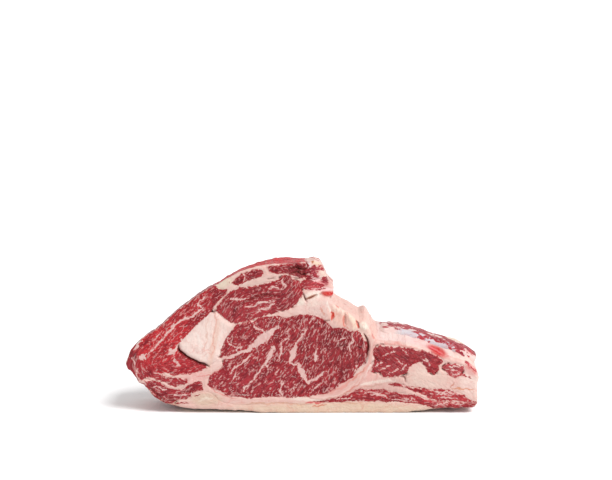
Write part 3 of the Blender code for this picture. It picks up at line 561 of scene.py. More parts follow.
# Coloured lines on the fat: (strength, colour, half width, point, point, ...)
FAT_LINES = [
    (1.0, (228, 66, 46), 0.9, (24, 91), (25.6, 89), (26.3, 87), (26, 84), (25.3, 82.3)),
    (0.8, (255, 242, 232), 1.0, (21.5, 99), (22, 96), (23, 93), (23.4, 90)),
    (0.7, (226, 152, 132), 1.2, (15, 93), (16.5, 90), (17.5, 87)),
    (0.8, (240, 118, 108), 1.1, (29, 95.5), (31, 94.3)),
    (0.6, (246, 184, 174), 1.1, (30, 98.5), (38, 96.5), (46, 93.5), (51, 92)),
    (0.7, (254, 230, 214), 1.6, (27, 95), (31, 91), (36, 88)),
    (0.9, (234, 138, 122), 0.6, (35.6, 87), (36.8, 82), (36.8, 78), (38, 75)),
    (0.8, (254, 230, 208), 1.4, (40, 88), (43, 83), (45, 78), (44, 75)),
    (0.8, (242, 158, 148), 0.5, (41.5, 91.5), (44, 88), (44.6, 85)),
    (1.0, (230, 92, 72), 0.9, (46, 79.6), (48, 77.5), (48.4, 76)),
    (0.9, (240, 128, 112), 0.8, (46, 81.6), (49, 81.2), (51, 81.4)),
    (0.9, (255, 240, 224), 2.6, (50, 78.5), (53.5, 77.5), (56, 75.5)),
    (0.9, (240, 116, 98), 0.6, (57.6, 80.4), (59.4, 78), (60.8, 76)),
    (0.8, (232, 138, 128), 1.6, (60, 71), (62, 68.5), (61.5, 66)),
    (0.8, (204, 116, 78), 0.9, (54, 84), (55.3, 82.4), (56, 85)),
    (0.6, (238, 176, 164), 0.6, (67, 71), (63.5, 67), (62, 63)),
    (0.8, (230, 208, 200), 1.0, (42, 30), (45, 35), (49, 39), (54, 44), (57, 50)),
    (0.9, (214, 130, 112), 0.4, (40, 27), (44, 30.5), (48, 34), (53, 38), (56, 42)),
    (0.7, (234, 160, 150), 0.9, (23, 19), (30, 21), (36, 24), (41, 28), (46, 33), (52, 38)),
    (0.7, (242, 210, 200), 0.9, (15, 14.5), (25, 15), (33, 17), (40, 21), (47, 27), (54, 34)),
    (0.8, (212, 134, 118), 0.35, (20, 13), (30, 15), (38, 18.5), (45, 23), (50, 28)),
    (0.9, (244, 226, 214), 1.1, (-10, 13), (0, 12.5), (12, 12), (22, 11.5), (32, 13.5)),
    (0.7, (220, 154, 140), 0.4, (-4, 14), (5, 14.6), (12, 13.5), (20, 13), (28, 13.2)),
    (0.8, (248, 222, 214), 0.9, (61, 50), (60, 45), (58, 40), (56.5, 36), (54, 31)),
    (0.8, (236, 176, 166), 0.6, (58.4, 54), (58, 47), (56.6, 42), (53, 36), (48, 30.5)),
    (1.0, (212, 76, 66), 0.5, (56.6, 35), (58.5, 38)),
    (0.8, (246, 228, 216), 1.4, (50, 25), (60, 26.5), (70, 28.5), (80, 29)),
    (0.7, (202, 164, 148), 0.4, (50, 22), (56, 23), (62, 23.6), (70, 25.6)),
    (0.9, (206, 92, 62), 0.6, (8, 7.2), (14, 7), (21, 7.4)),
    (0.9, (216, 84, 86), 0.7, (2, 9.6), (9, 9.8), (18, 9.4)),
    (0.6, (214, 158, 128), 0.5, (-50, 5.6), (-40, 8), (-20, 8.6), (0, 7.4)),
    (0.6, (214, 158, 128), 0.4, (30, 9), (44, 8.6), (58, 8.8)),
    (0.5, (250, 236, 220), 1.4, (-90, 9), (-84, 13), (-78, 11)),
    (0.7, (236, 176, 160), 0.6, (-76.5, 87), (-74, 82), (-76, 74), (-78, 66), (-77, 58), (-79, 49)),
    (0.5, (224, 170, 150), 0.4, (-82, 84), (-84, 76), (-83, 66), (-85, 56)),
    (0.5, (255, 244, 236), 1.6, (-92, 72), (-88, 62), (-88, 52)),
    (0.7, (226, 120, 116), 0.6, (-69, 40), (-76, 36), (-84, 34), (-92, 33)),
    (0.6, (250, 214, 206), 0.9, (-68, 34), (-76, 30), (-84, 29.5)),
    (0.7, (224, 130, 122), 0.5, (-80, 24), (-78, 20), (-70, 15.5), (-60, 12.4)),
    (0.6, (232, 146, 138), 0.6, (64, 60.5), (76, 61), (88, 59.4), (100, 57)),
    (0.7, (214, 88, 92), 0.9, (120, 52), (127, 49.5), (133, 48)),
    (0.7, (232, 120, 118), 0.9, (140, 52), (146, 50), (149, 46)),
    (0.8, (214, 70, 74), 1.0, (146, 54), (149, 53)), (0.7, (176, 92, 106), 1.4, (136, 53), (139, 51)),
    (0.7, (234, 140, 134), 1.2, (142, 41), (147, 38), (151, 34)),
    (0.8, (220, 132, 84), 0.6, (129, 21.5), (138, 22), (150, 21)),
    (0.7, (196, 110, 80), 0.4, (133, 27), (130, 25), (128.5, 23)),
]
# Lumps and dents of the cut face: middle (u, v), radii, turn in degrees, height
LUMPS = [
    (48, 88, 5, 5, 0, 0.9), (52.5, 77, 4.5, 3.5, -20, 1.4), (57.5, 84, 2.8, 3.6, 0, 2.0),
    (54, 82.5, 1.0, 2.4, 20, -1.2), (56, 76, 5, 3.0, -35, 0.8), (38, 92.5, 8, 1.5, -25, 0.7),
    (42, 82, 2.2, 7, 15, 0.9), (21, 88, 3, 5, 10, 0.7), (31, 90, 5, 5, 0, 0.5), (47, 70, 3.5, 5, 0, 0.8),
    (25.6, 87, 1.1, 5, 5, -1.2), (36.8, 81, 0.9, 5, 5, -0.8), (44, 88, 0.8, 4, -15, -0.6),
    (47.4, 79, 1.5, 1.5, 0, -1.2), (60, 72, 2, 6, 30, 0.6), (13, 134, 4, 3, 0, 1.3),
    (19, 123, 3.5, 4, 0, 1.3), (22, 105, 5, 2.2, 0, 1.4), (19.5, 116, 3.5, 3.2, 0, 1.0),
    (8, 113, 9, 1.4, 0, 0.7), (8, 124, 4, 2.5, 40, -0.8), (9, 102.6, 5, 0.8, 18, -1.0),
    (-3, 125, 6, 5, 0, -1.4), (8.4, 134, 0.9, 2.4, 0, -0.9), (118, 54, 6, 3, -18, 1.0),
    (101, 33, 9, 6, 0, 0.6), (-10, 50, 45, 28, 0, 0.9), (-122, 62, 26, 12, 45, 0.6),
    (-40, 98, 26, 10, 10, 0.6), (84, 50, 18, 8, -10, 0.5), (-100, 26, 14, 3, 0, 0.8),
    (-122, 20, 10, 3, 20, 0.6), (55, 24, 12, 4, 20, 0.5), (-128, 15, 4, 2.2, -35, 0.9),
    (-118, 8.5, 4, 2, -20, 0.9), (-144, 52, 3, 5, -20, 0.7), (-147, 44, 2.5, 3, 0, 0.6),
    (-139, 28, 3, 3, -50, 0.6), (13, 95, 8, 5, 10, 0.7), (33, 84, 2, 6, -15, 0.7),
    (39, 90, 6, 1.6, -30, 0.6), (29, 80, 3, 4, 0, 0.5),
]
# The rib's front, placed as the camera sees it: strokes of lean, paint on fat and on lean
FRONT_SLOPE = math.tan(VIEW_TILT)
RIB_FRONT_COLOUR = (244, 214, 208)
RIB_LEAN_COLOUR = (170, 66, 80)
RIB_SPOTS = [
    (1.2, (86, 60.6), (94, 60.2), (101, 58.4)), (1.0, (96, 57.6), (106, 56), (110, 55)),
    (1.6, (134, 55), (138, 53), (141, 50.4)), (1.3, (128, 56.5), (133, 56.4)),
    (1.1, (145, 52.6), (149, 51)), (0.8, (70, 75.6), (78, 76.4)),
]
RIB_PAINT = [
    (80, 66, 16, 6, 0, 0.8, (252, 226, 220)), (100, 62, 20, 4, -12, 0.8, (246, 208, 204)),
    (116, 57.5, 9, 2, -24, 0.7, (252, 224, 216)), (132, 50, 10, 6, -20, 0.8, (250, 218, 210)),
    (140, 46, 12, 5, -20, 0.9, (252, 224, 212)), (147, 56, 4, 3, 0, 0.9, (226, 120, 122)),
    # The red vessel; the two thin pink lines on it are painted highlights
    (117, 54.8, 10.5, 4.6, -30, 1.0, (206, 22, 44)), (113.5, 57.6, 5, 0.8, -28, 0.9, (238, 120, 130)),
    (120, 53.4, 4, 0.7, -34, 0.7, (240, 130, 140)),
]
RIB_LEAN_PAINT = [
    (94, 59, 14, 4, 0, 0.9, (226, 110, 112)), (138, 53, 6, 4, 0, 0.9, (160, 74, 92)),
    (147, 52, 4, 4, 0, 1.0, (210, 50, 58)), (142, 55, 5, 4, 0, 0.8, (150, 70, 88)),
]
MARBLING = {"cap_muscle": 0.75, "lower_muscle": 0.7, "spindle_muscle": 0.6,
            "upper_muscle": 0.8, "crest_muscle": 0.6, "intercostal_muscle": 0.28,
            "end_muscle": 0.6, "upper_strip": 0.55, "lower_strip": 0.55}
LEAN_COLOUR = (152, 34, 42)
FAT_COLOUR = (240, 200, 190)
STREAK_FAT_COLOUR = (234, 194, 188)


def ellipse(u, v, mid_u, mid_v, wide, high, turn):
    """Distance from the middle of a turned ellipse, 1 on its edge."""
    angle = math.radians(turn)
    across = ((u - mid_u) * math.cos(angle) + (v - mid_v) * math.sin(angle)) / wide
    upward = (-(u - mid_u) * math.sin(angle) + (v - mid_v) * math.cos(angle)) / high
    return np.sqrt(across ** 2 + upward ** 2)


def painted(u, v, base, strokes):
    """A base colour with soft patches painted over it, linear."""
    colour = np.tile(srgb(*base), (len(u), 1))
    for mid_u, mid_v, wide, high, turn, strength, shade in strokes:
        amount = strength * (1 - ramp(ellipse(u, v, mid_u, mid_v, wide, high, turn), 0.55, 1.25))
        colour += amount[:, None] * (srgb(*shade) - colour)
    return colour


def face_fields(u, v, depth_seed):
    """Every painted value at the places of one cut face: depth_seed is its depth, millimetres."""
    spots = np.stack((u, v), axis=1)
    wander = noise_pair(u, v, depth_seed, 9.0, (11, 12))
    ripple = noise_pair(u, v, depth_seed, 3.4, (15, 16))
    # Clefts stay near their places; streaks waver, and lie elsewhere on the back face
    spots_near = spots + 0.5 * wander
    spots_wander = spots + (0.5 + 0.09 * depth_seed) * wander + ripple
    lean_gap = np.min([loop_distance(spots, outlines[node]) for node in LEAN_NODES], axis=0)
    fat_gap = stroke_distance(spots_wander, FAT_STROKES)
    bits = stroke_distance(spots_wander, LEAN_STROKES)
    kernel_gap = np.abs(loop_distance(spots, outlines["fat_kernel"]))
    lobes = noise(u, v, depth_seed, 7.0, 21) + 0.6 * noise(u, v, depth_seed, 2.6, 23)
    edge = np.minimum(-lean_gap + lobes * ramp(kernel_gap, 0.4, 3.0), fat_gap)
    edge = np.maximum(edge, -bits)
    lean_tint = painted(u, v, LEAN_COLOUR, LEAN_PAINT)
    fat_tint = painted(u, v, FAT_COLOUR, FAT_PAINT)
    streak = ramp(-lean_gap, 0.3, 2.0)[:, None]
    fat_tint = fat_tint * (1 - streak) + srgb(*STREAK_FAT_COLOUR) * streak
    for strength, shade, *path in FAT_LINES:
        amount = strength * (1 - ramp(stroke_distance(spots_wander, [tuple(path)]), -0.3, 0.5))
        fat_tint += amount[:, None] * (srgb(*shade) - fat_tint)
    cleft_shade = np.zeros(len(u))
    hollow = np.zeros(len(u))
    for mid_u, mid_v, wide, high, turn, height in LUMPS:
        hollow -= height * np.exp(-ellipse(u, v, mid_u, mid_v, wide, high, turn) ** 2)
    # Clefts are cut in as hollows, and painted shade is laid along them
    for half, deep, cleft_shade_strength, *path in CLEFTS:
        gap = stroke_distance(spots_near, [(half, *path)])
        cleft_shade = np.maximum(cleft_shade, cleft_shade_strength * (1 - ramp(gap, -half, 0.45)))
        hollow += deep * (1 - ramp(gap, -half, 1.3))
    # Fewer flecks right of the eye, more in the lowest lean and at the sawn end
    marble = 1.0 - 0.35 * ramp(u, 60, 70) * ramp(v, 28, 34) + 0.25 * ramp(-v, -34, -18)
    marble += 0.4 * ramp(u, 120, 124)
    return {"edge": edge, "lean": lean_tint, "fat": fat_tint, "cleft_shade": cleft_shade,
            "hollow": hollow, "marble": marble}


def relief(u, v, setback, start, wave):
    """How far a cut face lies inside its flat plane, millimetres."""
    return setback * ramp(u, start, 26) * ramp(v, 99, 109) + 0.8 * (1 + wave)


# How the fibres' bundles lie: a bearing that turns with u, or a guide line they follow
BEARINGS = {
    "rib_eye": ((-20, 45), ((-80, 44), (-40, 50), (-10, 58), (25, 68), (50, 80))),
    "upper_muscle": ((-40, 98), ((-70, 50), (-50, 22), (-20, 12), (0, 40))),
    "spindle_muscle": ((-45, 120), ((-60, 25), (-35, 15))),
    "crest_muscle": ((-15, 125), ((-30, 5), (0, -20))),
    "intercostal_muscle": ((90, 48), ((60, 140), (90, 150), (120, 160))),
    "end_muscle": ((132, 38), ((120, 160), (140, 150))),
    "upper_strip": ((110, 18), ((75, -4), (150, -14))),
    "lower_strip": ((80, 13), ((10, 6), (60, -4), (150, -6))),
    "fat_kernel": ((-85, 66), ((-107, 60), (-60, 75))),
    "seam_fat": ((20, 60), ((-100, 10), (0, 5), (58, 75), (90, 165), (150, 160))),
    "upper_fat": ((-40, 112), ((-75, 40), (0, 5))),
    "back_fat": ((0, 5), ((-100, 0), (100, 0))),
    "chine_bone": ((12, 118), ((0, 0), (25, -15))),
}
GUIDES = {
    "cap_muscle": ((-58, 113), (-80, 97), (-100, 80), (-122, 60), (-134, 50), (-138, 42),
                   (-132, 34), (-118, 31), (-100, 33), (-80, 38)),
    "lower_muscle": ((-142, 26), (-130, 20), (-115, 17), (-100, 20), (-84, 26)),
}


def flow(node, u, v, y):
    """Coordinates in millimetres along, across and behind the fibres of a piece."""
    if node in GUIDES:
        path = np.array(GUIDES[node], dtype=float)
        best = np.full(len(u), np.inf)
        along_path = np.zeros(len(u))
        side = np.zeros(len(u))
        walked = 0.0
        for start, end in zip(path[:-1], path[1:]):
            t, gap = project(np.stack((u, v), axis=1), start, end)
            closer = gap < best
            best = np.where(closer, gap, best)
            span = end - start
            length = np.linalg.norm(span)
            along_path = np.where(closer, walked + t * length, along_path)
            turn = np.sign(span[0] * (v - start[1]) - span[1] * (u - start[0]))
            side = np.where(closer, gap * turn, side)
            walked += length
        return np.stack((along_path, side, y), axis=1)
    (mid_u, mid_v), turns = BEARINGS[node]
    bearing = np.radians(np.interp(u, [turn[0] for turn in turns], [turn[1] for turn in turns]))
    du, dv = u - mid_u, v - mid_v
    return np.stack((du * np.cos(bearing) + dv * np.sin(bearing),
                     dv * np.cos(bearing) - du * np.sin(bearing), y), axis=1)


def nearest(points, targets):
    """Distance from each point to the nearest of the targets."""
    tree = KDTree(len(targets))
    for i, (u, v) in enumerate(targets.tolist()):
        tree.insert((u, v, 0.0), i)
    tree.balance()
    return np.array([tree.find((u, v, 0.0))[2] for u, v in points.tolist()])


def open_edges(triangles, count):
    """The directed edges that no triangle of the set runs the other way."""
    edges = directed_edges(triangles)
    forward = edges[:, 0] * count + edges[:, 1]
    backward = edges[:, 1] * count + edges[:, 0]
    return edges[~np.isin(forward, backward)]


def skin_fields(u, v, depth, fields, index):
    """Painted values on the outer skin, for boundary points at a depth fraction."""
    y = depth * THICK_MM
    edge, lean, fat = (fields[key][index].copy() for key in ("edge", "lean", "fat"))
    mottle = noise(u, v, y, 9.0, 31)
    fine = noise(u, v, y, 3.5, 33)
    deep = ramp(depth, 0.0, 0.08)     # the cut face's own paint ends just behind its edge

    def cover(mask, edge_target, fat_colour=None, lean_colour=None):
        amount = mask * deep
        edge[:] = edge * (1 - amount) + edge_target * amount
        if fat_colour is not None:
            fat[:] = fat + amount[:, None] * (srgb(*fat_colour) - fat)
        if lean_colour is not None:
            lean[:] = lean + amount[:, None] * (srgb(*lean_colour) - lean)

    # Zones of the skin, by their places on the face: dried cap, crest top in a brighter red
    # that is partly painted light from above, shaded underside, bone at the chine, mound, rib,
    # sawn end and the fat below
    shoulder = ramp(v, 40, 50) * ramp(-u, 76, 84)
    cover(shoulder, 0.9 + 1.3 * mottle, (196, 170, 168), (124, 36, 38))
    # Crest top: bright red lean and pink fat, partly painted light from above
    crest = between(-u, -6, 0, 76, 80) * ramp(v, 108, 114)
    cover(crest, 1.5 + 1.0 * mottle + 0.9 * fine, (246, 176, 172), (246, 16, 24))
    under = ramp(-v, -24, -12) * ramp(-u, 90, 100)
    cover(under, 0.4 + mottle, (206, 150, 136), (122, 48, 42))
    chine = ramp(u, 0, 5) * ramp(v, 100, 104)
    cover(chine, -0.5 + 1.4 * mottle + 0.3 * fine, (250, 212, 200), (206, 78, 80))
    mound = between(u, 18, 24, 62, 70) * between(v, 60, 66, 100, 104)
    cover(mound, -1.5 + 1.0 * mottle + 0.5 * fine, (250, 208, 196), (214, 96, 92))
    rib = ramp(u, 62, 70) * ramp(v, 36, 42)
    band = -1.6 + 2.3 * ramp(depth, 0.46, 0.56) + 0.9 * mottle + 0.6 * fine
    cover(rib, band, (242, 216, 212), (180, 84, 92))
    seen = to_world(u, v, (depth - 0.5) * THICKNESS)[:, 2] / MM_Z + FRONT_SLOPE * y
    near_front = (rib * deep * (1 - ramp(depth, 0.45, 0.6)))[:, None]
    fat += near_front * (painted(u, seen, RIB_FRONT_COLOUR, RIB_PAINT) - fat)
    lean += near_front * (painted(u, seen, RIB_LEAN_COLOUR, RIB_LEAN_PAINT) - lean)
    spots = 0.8 * fine - 1.8 * stroke_distance(np.stack((u, seen), axis=1), RIB_SPOTS)
    edge[:] = np.where(near_front[:, 0] > 0.1, np.maximum(edge, spots), edge)
    end = ramp(u, 149, 152) * (1 - ramp(v, 44, 48))
    cover(end, -1.2 + 0.8 * mottle, (250, 222, 212), (206, 92, 92))
    base = (1 - ramp(v, 2, 5)) * between(u, -112, -104, 100, 108)
    cover(base, -2.5 + 0 * u, (228, 200, 176))
    # The painted cleft shade fades out just behind the cut face's edge
    return {"edge": edge, "lean": lean, "fat": fat, "cleft_shade": fields["cleft_shade"][index] * (1 - deep),
            "marble": fields["marble"][index] * (1 - 0.6 * deep)}


def place(name, data):
    """A new object in the scene around its data."""
    item = bpy.data.objects.new(name, data)
    bpy.context.scene.collection.objects.link(item)
    return item


def make_object(name, verts, faces, values):
    """A smooth mesh of triangles with its painted values as attributes."""
    mesh = bpy.data.meshes.new(name)
    mesh.vertices.add(len(verts))
    mesh.vertices.foreach_set("co", verts.astype(np.float32).ravel())
    mesh.loops.add(len(faces) * 3)
    mesh.loops.foreach_set("vertex_index", faces.astype(np.int32).ravel())
    mesh.polygons.add(len(faces))
    mesh.polygons.foreach_set("loop_start", np.arange(0, len(faces) * 3, 3, dtype=np.int32))
    mesh.update(calc_edges=True)
    mesh.validate()
    mesh.shade_smooth()
    for key, array in values.items():
        single = array.ndim == 1
        layer = mesh.attributes.new(key, 'FLOAT' if single else 'FLOAT_VECTOR', 'POINT')
        layer.data.foreach_set('value' if single else 'vector', array.astype(np.float32).ravel())
    return place(name, mesh)


def seam_points(triangles, labels, count):
    """The grid points that triangles of two or more pieces share."""
    low = np.full(count, len(FACE_NODES))
    high = np.full(count, -1)
    for corner in range(3):
        np.minimum.at(low, triangles[:, corner], labels)
        np.maximum.at(high, triangles[:, corner], labels)
    return np.nonzero(low != high)[0]


def outward(points, rim):
    """Unit vectors that point out of the outline, evened out along it."""
    out = np.zeros((len(points), 2))
    step = points[rim[:, 1]] - points[rim[:, 0]]
    for side in (0, 1):
        np.add.at(out, rim[:, side], step[:, ::-1] * (1, -1))
    for _ in range(3):
        even = out.copy()
        for side in (0, 1):
            np.add.at(even, rim[:, side], out[rim[:, 1 - side]])
        out = even
    return out / np.maximum(np.hypot(*out.T), 1e-9)[:, None]


def wall(left, right):
    """Triangles between two stacks of points, from the front face to the back one."""
    if len(left) < len(right):
        fan = [(left[0], right[j + 1], right[j]) for j in range(len(right) - 1)]
        return [(left[0], left[1], right[-1])] + fan
    if len(left) > len(right):
        fan = [(right[0], left[j], left[j + 1]) for j in range(len(left) - 1)]
        return fan + [(right[0], left[-1], right[1])]
    rows = []
    for j in range(len(left) - 1):
        rows += [(right[j], left[j], left[j + 1]), (right[j], left[j + 1], right[j + 1])]
    return rows


def make_pieces(outlines):
    """All the pieces of the cut faces, as closed meshes that meet along their seams."""
    points, triangles, labels = face_grid(outlines)
    count = len(points)
    u, v = points.T
    rim = open_edges(triangles, count)
    outer = np.unique(rim)
    rim_gap = nearest(points, points[outer])
    seam_gap = nearest(points, points[seam_points(triangles, labels, count)])
    kernel = triangles[labels == FACE_NODES.index("fat_kernel")]
    on_kernel = np.isin(np.arange(count), kernel)
    front = face_fields(u, v, 0.0)
    back = face_fields(u, v, THICK_MM)

    def inset(fields, plane, seed, cleft_share):
        """How far the points of a cut face lie inside its flat plane, metres."""
        rounding = np.clip(1 - rim_gap / EDGE_ROUND, 0, 1)
        height = plane + EDGE_ROUND * (1 - np.sqrt(1 - rounding ** 2))
        height += SEAM_GROOVE * np.exp(-(seam_gap / 0.7) ** 2)
        height -= MUSCLE_SWELL * (1 - np.exp(-seam_gap / 5))
        height -= KERNEL_STEP * on_kernel * ramp(seam_gap, 0, 3.5)
        height += cleft_share * fields["hollow"]
        height += 0.25 * noise(u, v, seed, 12.0, 41) + 0.10 * noise(u, v, seed, 2.4, 43)
        return 0.001 * height

    front_plane = relief(u, v, 1000 * CHINE_SETBACK, 2, np.sin(u / 33) * np.cos(v / 27))
    back_plane = relief(u, v, 600 * CHINE_SETBACK, 4, np.cos(u / 29) * np.sin(v / 23))
    front_y = -0.5 * THICKNESS + inset(front, front_plane, 0.0, 1.0)
    back_y = 0.5 * THICKNESS - inset(back, back_plane, THICK_MM, BACK_CLEFTS)

    rings = int(round(THICKNESS / SKIN_STEP)) - EDGE_RINGS
    skin_index = np.repeat(outer, rings)
    skin_u, skin_v = points[skin_index].T
    share = np.tile(np.arange(1, rings + 1) / (rings + 1), len(outer))
    skin_y = front_y[skin_index] * (1 - share) + back_y[skin_index] * share
    swell = (SKIN_SWELL * noise(skin_u, skin_v, 1000 * skin_y, 16.0, 51)
             + SKIN_LUMPS * noise(skin_u, skin_v, 1000 * skin_y, 4.0, 53))
    swell = ramp(share, 0.0, 0.10) * ramp(1 - share, 0.0, 0.10) * swell
    swell *= 1 - 0.8 * ramp(skin_u, 136, 144)     # the sawn end is flat
    moved_u, moved_v = (points[skin_index] + swell[:, None] * outward(points, rim)[skin_index]).T
    places = [to_world(u, v, front_y), to_world(u, v, back_y), to_world(moved_u, moved_v, skin_y)]
    for spots in places:
        spots[:, 2] = np.maximum(spots[:, 2], 0.0)
    skin = skin_fields(skin_u, skin_v, skin_y / THICKNESS + 0.5, front, skin_index)

    drawn = ((u, v, front_y), (u, v, back_y), (skin_u, skin_v, skin_y))
    column_of = np.full(count, -1)
    column_of[outer] = np.arange(len(outer))
    items = {}
    for number, node in enumerate(FACE_NODES):
        mine = triangles[labels == number]
        used = np.unique(mine)
        local = np.full(count, -1)
        local[used] = np.arange(len(used))
        own_columns = used[column_of[used] >= 0]
        column_start = np.full(count, -1)
        column_start[own_columns] = 2 * len(used) + np.arange(len(own_columns)) * rings
        walls = []
        for edge in open_edges(mine, count).tolist():
            stacks = []
            for end in edge:
                stack = [local[end], local[end] + len(used)]
                if column_start[end] >= 0:
                    stack[1:1] = range(column_start[end], column_start[end] + rings)
                stacks.append(stack)
            walls += wall(*stacks)
        faces = np.concatenate((local[mine], local[mine][:, ::-1] + len(used), np.array(walls)))
        own_skin = (column_of[own_columns][:, None] * rings + np.arange(rings)).ravel()
        takes = (used, used, own_skin)
        verts = np.concatenate([spots[take] for spots, take in zip(places, takes)])
        values = {}
        for key in ("edge", "lean", "fat", "cleft_shade", "marble"):
            parts = (front[key], back[key], skin[key])
            values[key] = np.concatenate([part[take] for part, take in zip(parts, takes)])
        values["flow"] = np.concatenate([
            flow(node, own_u[take], own_v[take], 1000 * y[take])
            for (own_u, own_v, y), take in zip(drawn, takes)])
        values["marble"] *= MARBLING.get(node, 1.0)
        items[node] = make_object("steak_" + node, verts, faces, values)
    return items


def read(elements, key, kind=np.float64):
    """One property of a mesh's elements, three numbers to a row."""
    numbers = np.zeros(len(elements) * 3, dtype=kind)
    elements.foreach_get(key, numbers)
    return numbers.reshape(-1, 3)


def rib_piece():
    """The rib bone: its solid remade as a fine mesh, with its membrane's colours."""
    copy = place("rib_copy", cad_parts["rib_bone"].data.copy())
    remesh = copy.modifiers.new("fine", 'REMESH')
    remesh.mode = 'VOXEL'
    remesh.voxel_size = RIB_GRID
    soften = copy.modifiers.new("soft", 'SMOOTH')
    soften.iterations = 6
    smooth = copy.evaluated_get(bpy.context.evaluated_depsgraph_get())
    data = bpy.data.meshes.new_from_object(smooth)
    data.calc_loop_triangles()
    verts = read(data.vertices, "co")
    normals = read(data.vertices, "normal")
    faces = read(data.loop_triangles, "vertices", np.int32)
    bpy.data.objects.remove(copy, do_unlink=True)
    x, y, z = verts.T
    u = FACE_LEFT + (x - solid_box[0][0]) / MM_X
    v = z / MM_Z
    depth = y / THICKNESS + 0.5
    swell = 0.35 * noise(u, v, 1000 * y, 10.0, 61) + 0.12 * noise(u, v, 1000 * y, 3.0, 63)
    verts[:, 2] += 0.001 * swell
    mottle = noise(u, v, 1000 * y, 8.0, 65)
    fine = noise(u, v, 1000 * y, 3.0, 67)
    lump = between(u, 124, 130, 140, 145) * ramp(depth, 0.5, 0.6)
    seen = v + FRONT_SLOPE * (1000 * y + THICK_MM / 2)     # height as the camera sees it
    spots = np.stack((u, seen), axis=1)
    red = 2.6 * ramp(depth, 0.20, 0.34) * (1 - 0.9 * lump)
    edge = -1.8 + red - 0.7 * ramp(depth, 0.5, 0.8) + 1.5 * mottle + 0.7 * fine
    edge -= 2.2 * (1 - ramp(u, 60, 84))
    edge = np.maximum(1.8 * edge, -1.8 * stroke_distance(spots, RIB_SPOTS) + 0.8 * fine)
    fat = painted(u, seen, RIB_FRONT_COLOUR, RIB_PAINT)
    blue = between(depth, 0.06, 0.16, 0.30, 0.45) * between(u, 78, 88, 130, 138)
    fat += blue[:, None] * (srgb(214, 206, 214) - fat)
    fat += lump[:, None] * (srgb(250, 226, 204) - fat)
    lean = painted(u, seen, RIB_LEAN_COLOUR, RIB_LEAN_PAINT)
    bloody = (0.4 + 0.4 * fine) * ramp(depth, 0.16, 0.22)
    lean += bloody[:, None] * (srgb(204, 60, 74) - lean)
    # The sawn end: pale hard bone around red-brown marrow
    sawn = ramp(normals @ np.array((0.8, 0.0, -0.6)), 0.75, 0.92) * ramp(u, 146, 149)
    face = verts[sawn > 0.9]
    middle = 0.5 * (face.min(axis=0) + face.max(axis=0))
    reach = np.maximum(0.5 * (face.max(axis=0) - face.min(axis=0)), 1e-4)
    away = np.hypot((y - middle[1]) / reach[1], (z - middle[2]) / reach[2]) + 0.08 * fine
    marrow = (1 - ramp(away, 0.62, 0.80))[:, None]
    bone = srgb(236, 212, 186) + marrow * (srgb(166, 64, 54) + 0.03 * fine[:, None] - srgb(236, 212, 186))
    edge = edge * (1 - sawn) - 2.5 * sawn
    fat += sawn[:, None] * (bone - fat)
    values = {"edge": edge, "lean": lean, "fat": fat, "cleft_shade": 0 * u, "marble": 0.5 + 0 * u,
              "flow": np.stack((u, 1000 * y, v), axis=1)}
    return make_object("steak_rib_bone", verts, faces, values)


class Nodes:
    """Short ways to add and join shader nodes."""

    def __init__(self, name):
        self.material = bpy.data.materials.new(name)
        self.material.use_nodes = True
        self.tree = self.material.node_tree
        self.tree.nodes.clear()

    def add(self, kind, inputs=None, **settings):
        node = self.tree.nodes.new(kind)
        for key, value in settings.items():
            setattr(node, key, value)
        for key, value in (inputs or {}).items():
            self.put(node.inputs[key], value)
        return node

    def put(self, socket, value):
        if isinstance(value, bpy.types.NodeSocket):
            self.tree.links.new(value, socket)
        elif isinstance(value, bpy.types.Node):
            self.tree.links.new(value.outputs[0], socket)
        else:
            socket.default_value = value

    def attribute(self, name, kind="Fac"):
        return self.add('ShaderNodeAttribute', attribute_name=name).outputs[kind]

    def math(self, operation, a, b=0.0, clamp=False):
        node = self.add('ShaderNodeMath', operation=operation, use_clamp=clamp)
        self.put(node.inputs[0], a)
        self.put(node.inputs[1], b)
        return node.outputs[0]

    def times(self, a, b, clamp=False):
        return self.math('MULTIPLY', a, b, clamp)

    def ramp(self, value, low, high, to_low=0.0, to_high=1.0):
        node = self.add('ShaderNodeMapRange', interpolation_type='SMOOTHSTEP')
        for key, number in (("Value", value), ("From Min", low), ("From Max", high),
                            ("To Min", to_low), ("To Max", to_high)):
            self.put(node.inputs[key], number)
        return node.outputs[0]

    def mix(self, amount, a, b):
        node = self.add('ShaderNodeMix', data_type='RGBA')
        self.put(node.inputs[0], amount)
        self.put(node.inputs[6], a)
        self.put(node.inputs[7], b)
        return node.outputs[2]

    def scaled(self, vector, scale):
        node = self.add('ShaderNodeVectorMath', operation='MULTIPLY')
        self.put(node.inputs[0], vector)
        self.put(node.inputs[1], scale)
        return node.outputs[0]

    def noise(self, vector, scale, detail=2.0, rough=0.5, output="Fac"):
        return self.add('ShaderNodeTexNoise', {
            "Vector": self.scaled(vector, scale), "Scale": 1.0, "Detail": detail,
            "Roughness": rough}).outputs[output]

    def beads(self, vector, *sizes, feature='F1'):
        """Distance from the middles of cells of these sizes, or from their borders."""
        vector = self.scaled(vector, [1 / size for size in sizes])
        return self.add('ShaderNodeTexVoronoi', {"Vector": vector, "Scale": 1.0},
                        feature=feature).outputs["Distance"]

    def surface(self, inputs):
        """The finished material, with a Principled surface of these inputs."""
        out = self.add('ShaderNodeOutputMaterial')
        self.tree.links.new(self.add('ShaderNodeBsdfPrincipled', inputs).outputs[0],
                            out.inputs["Surface"])
        return self.material


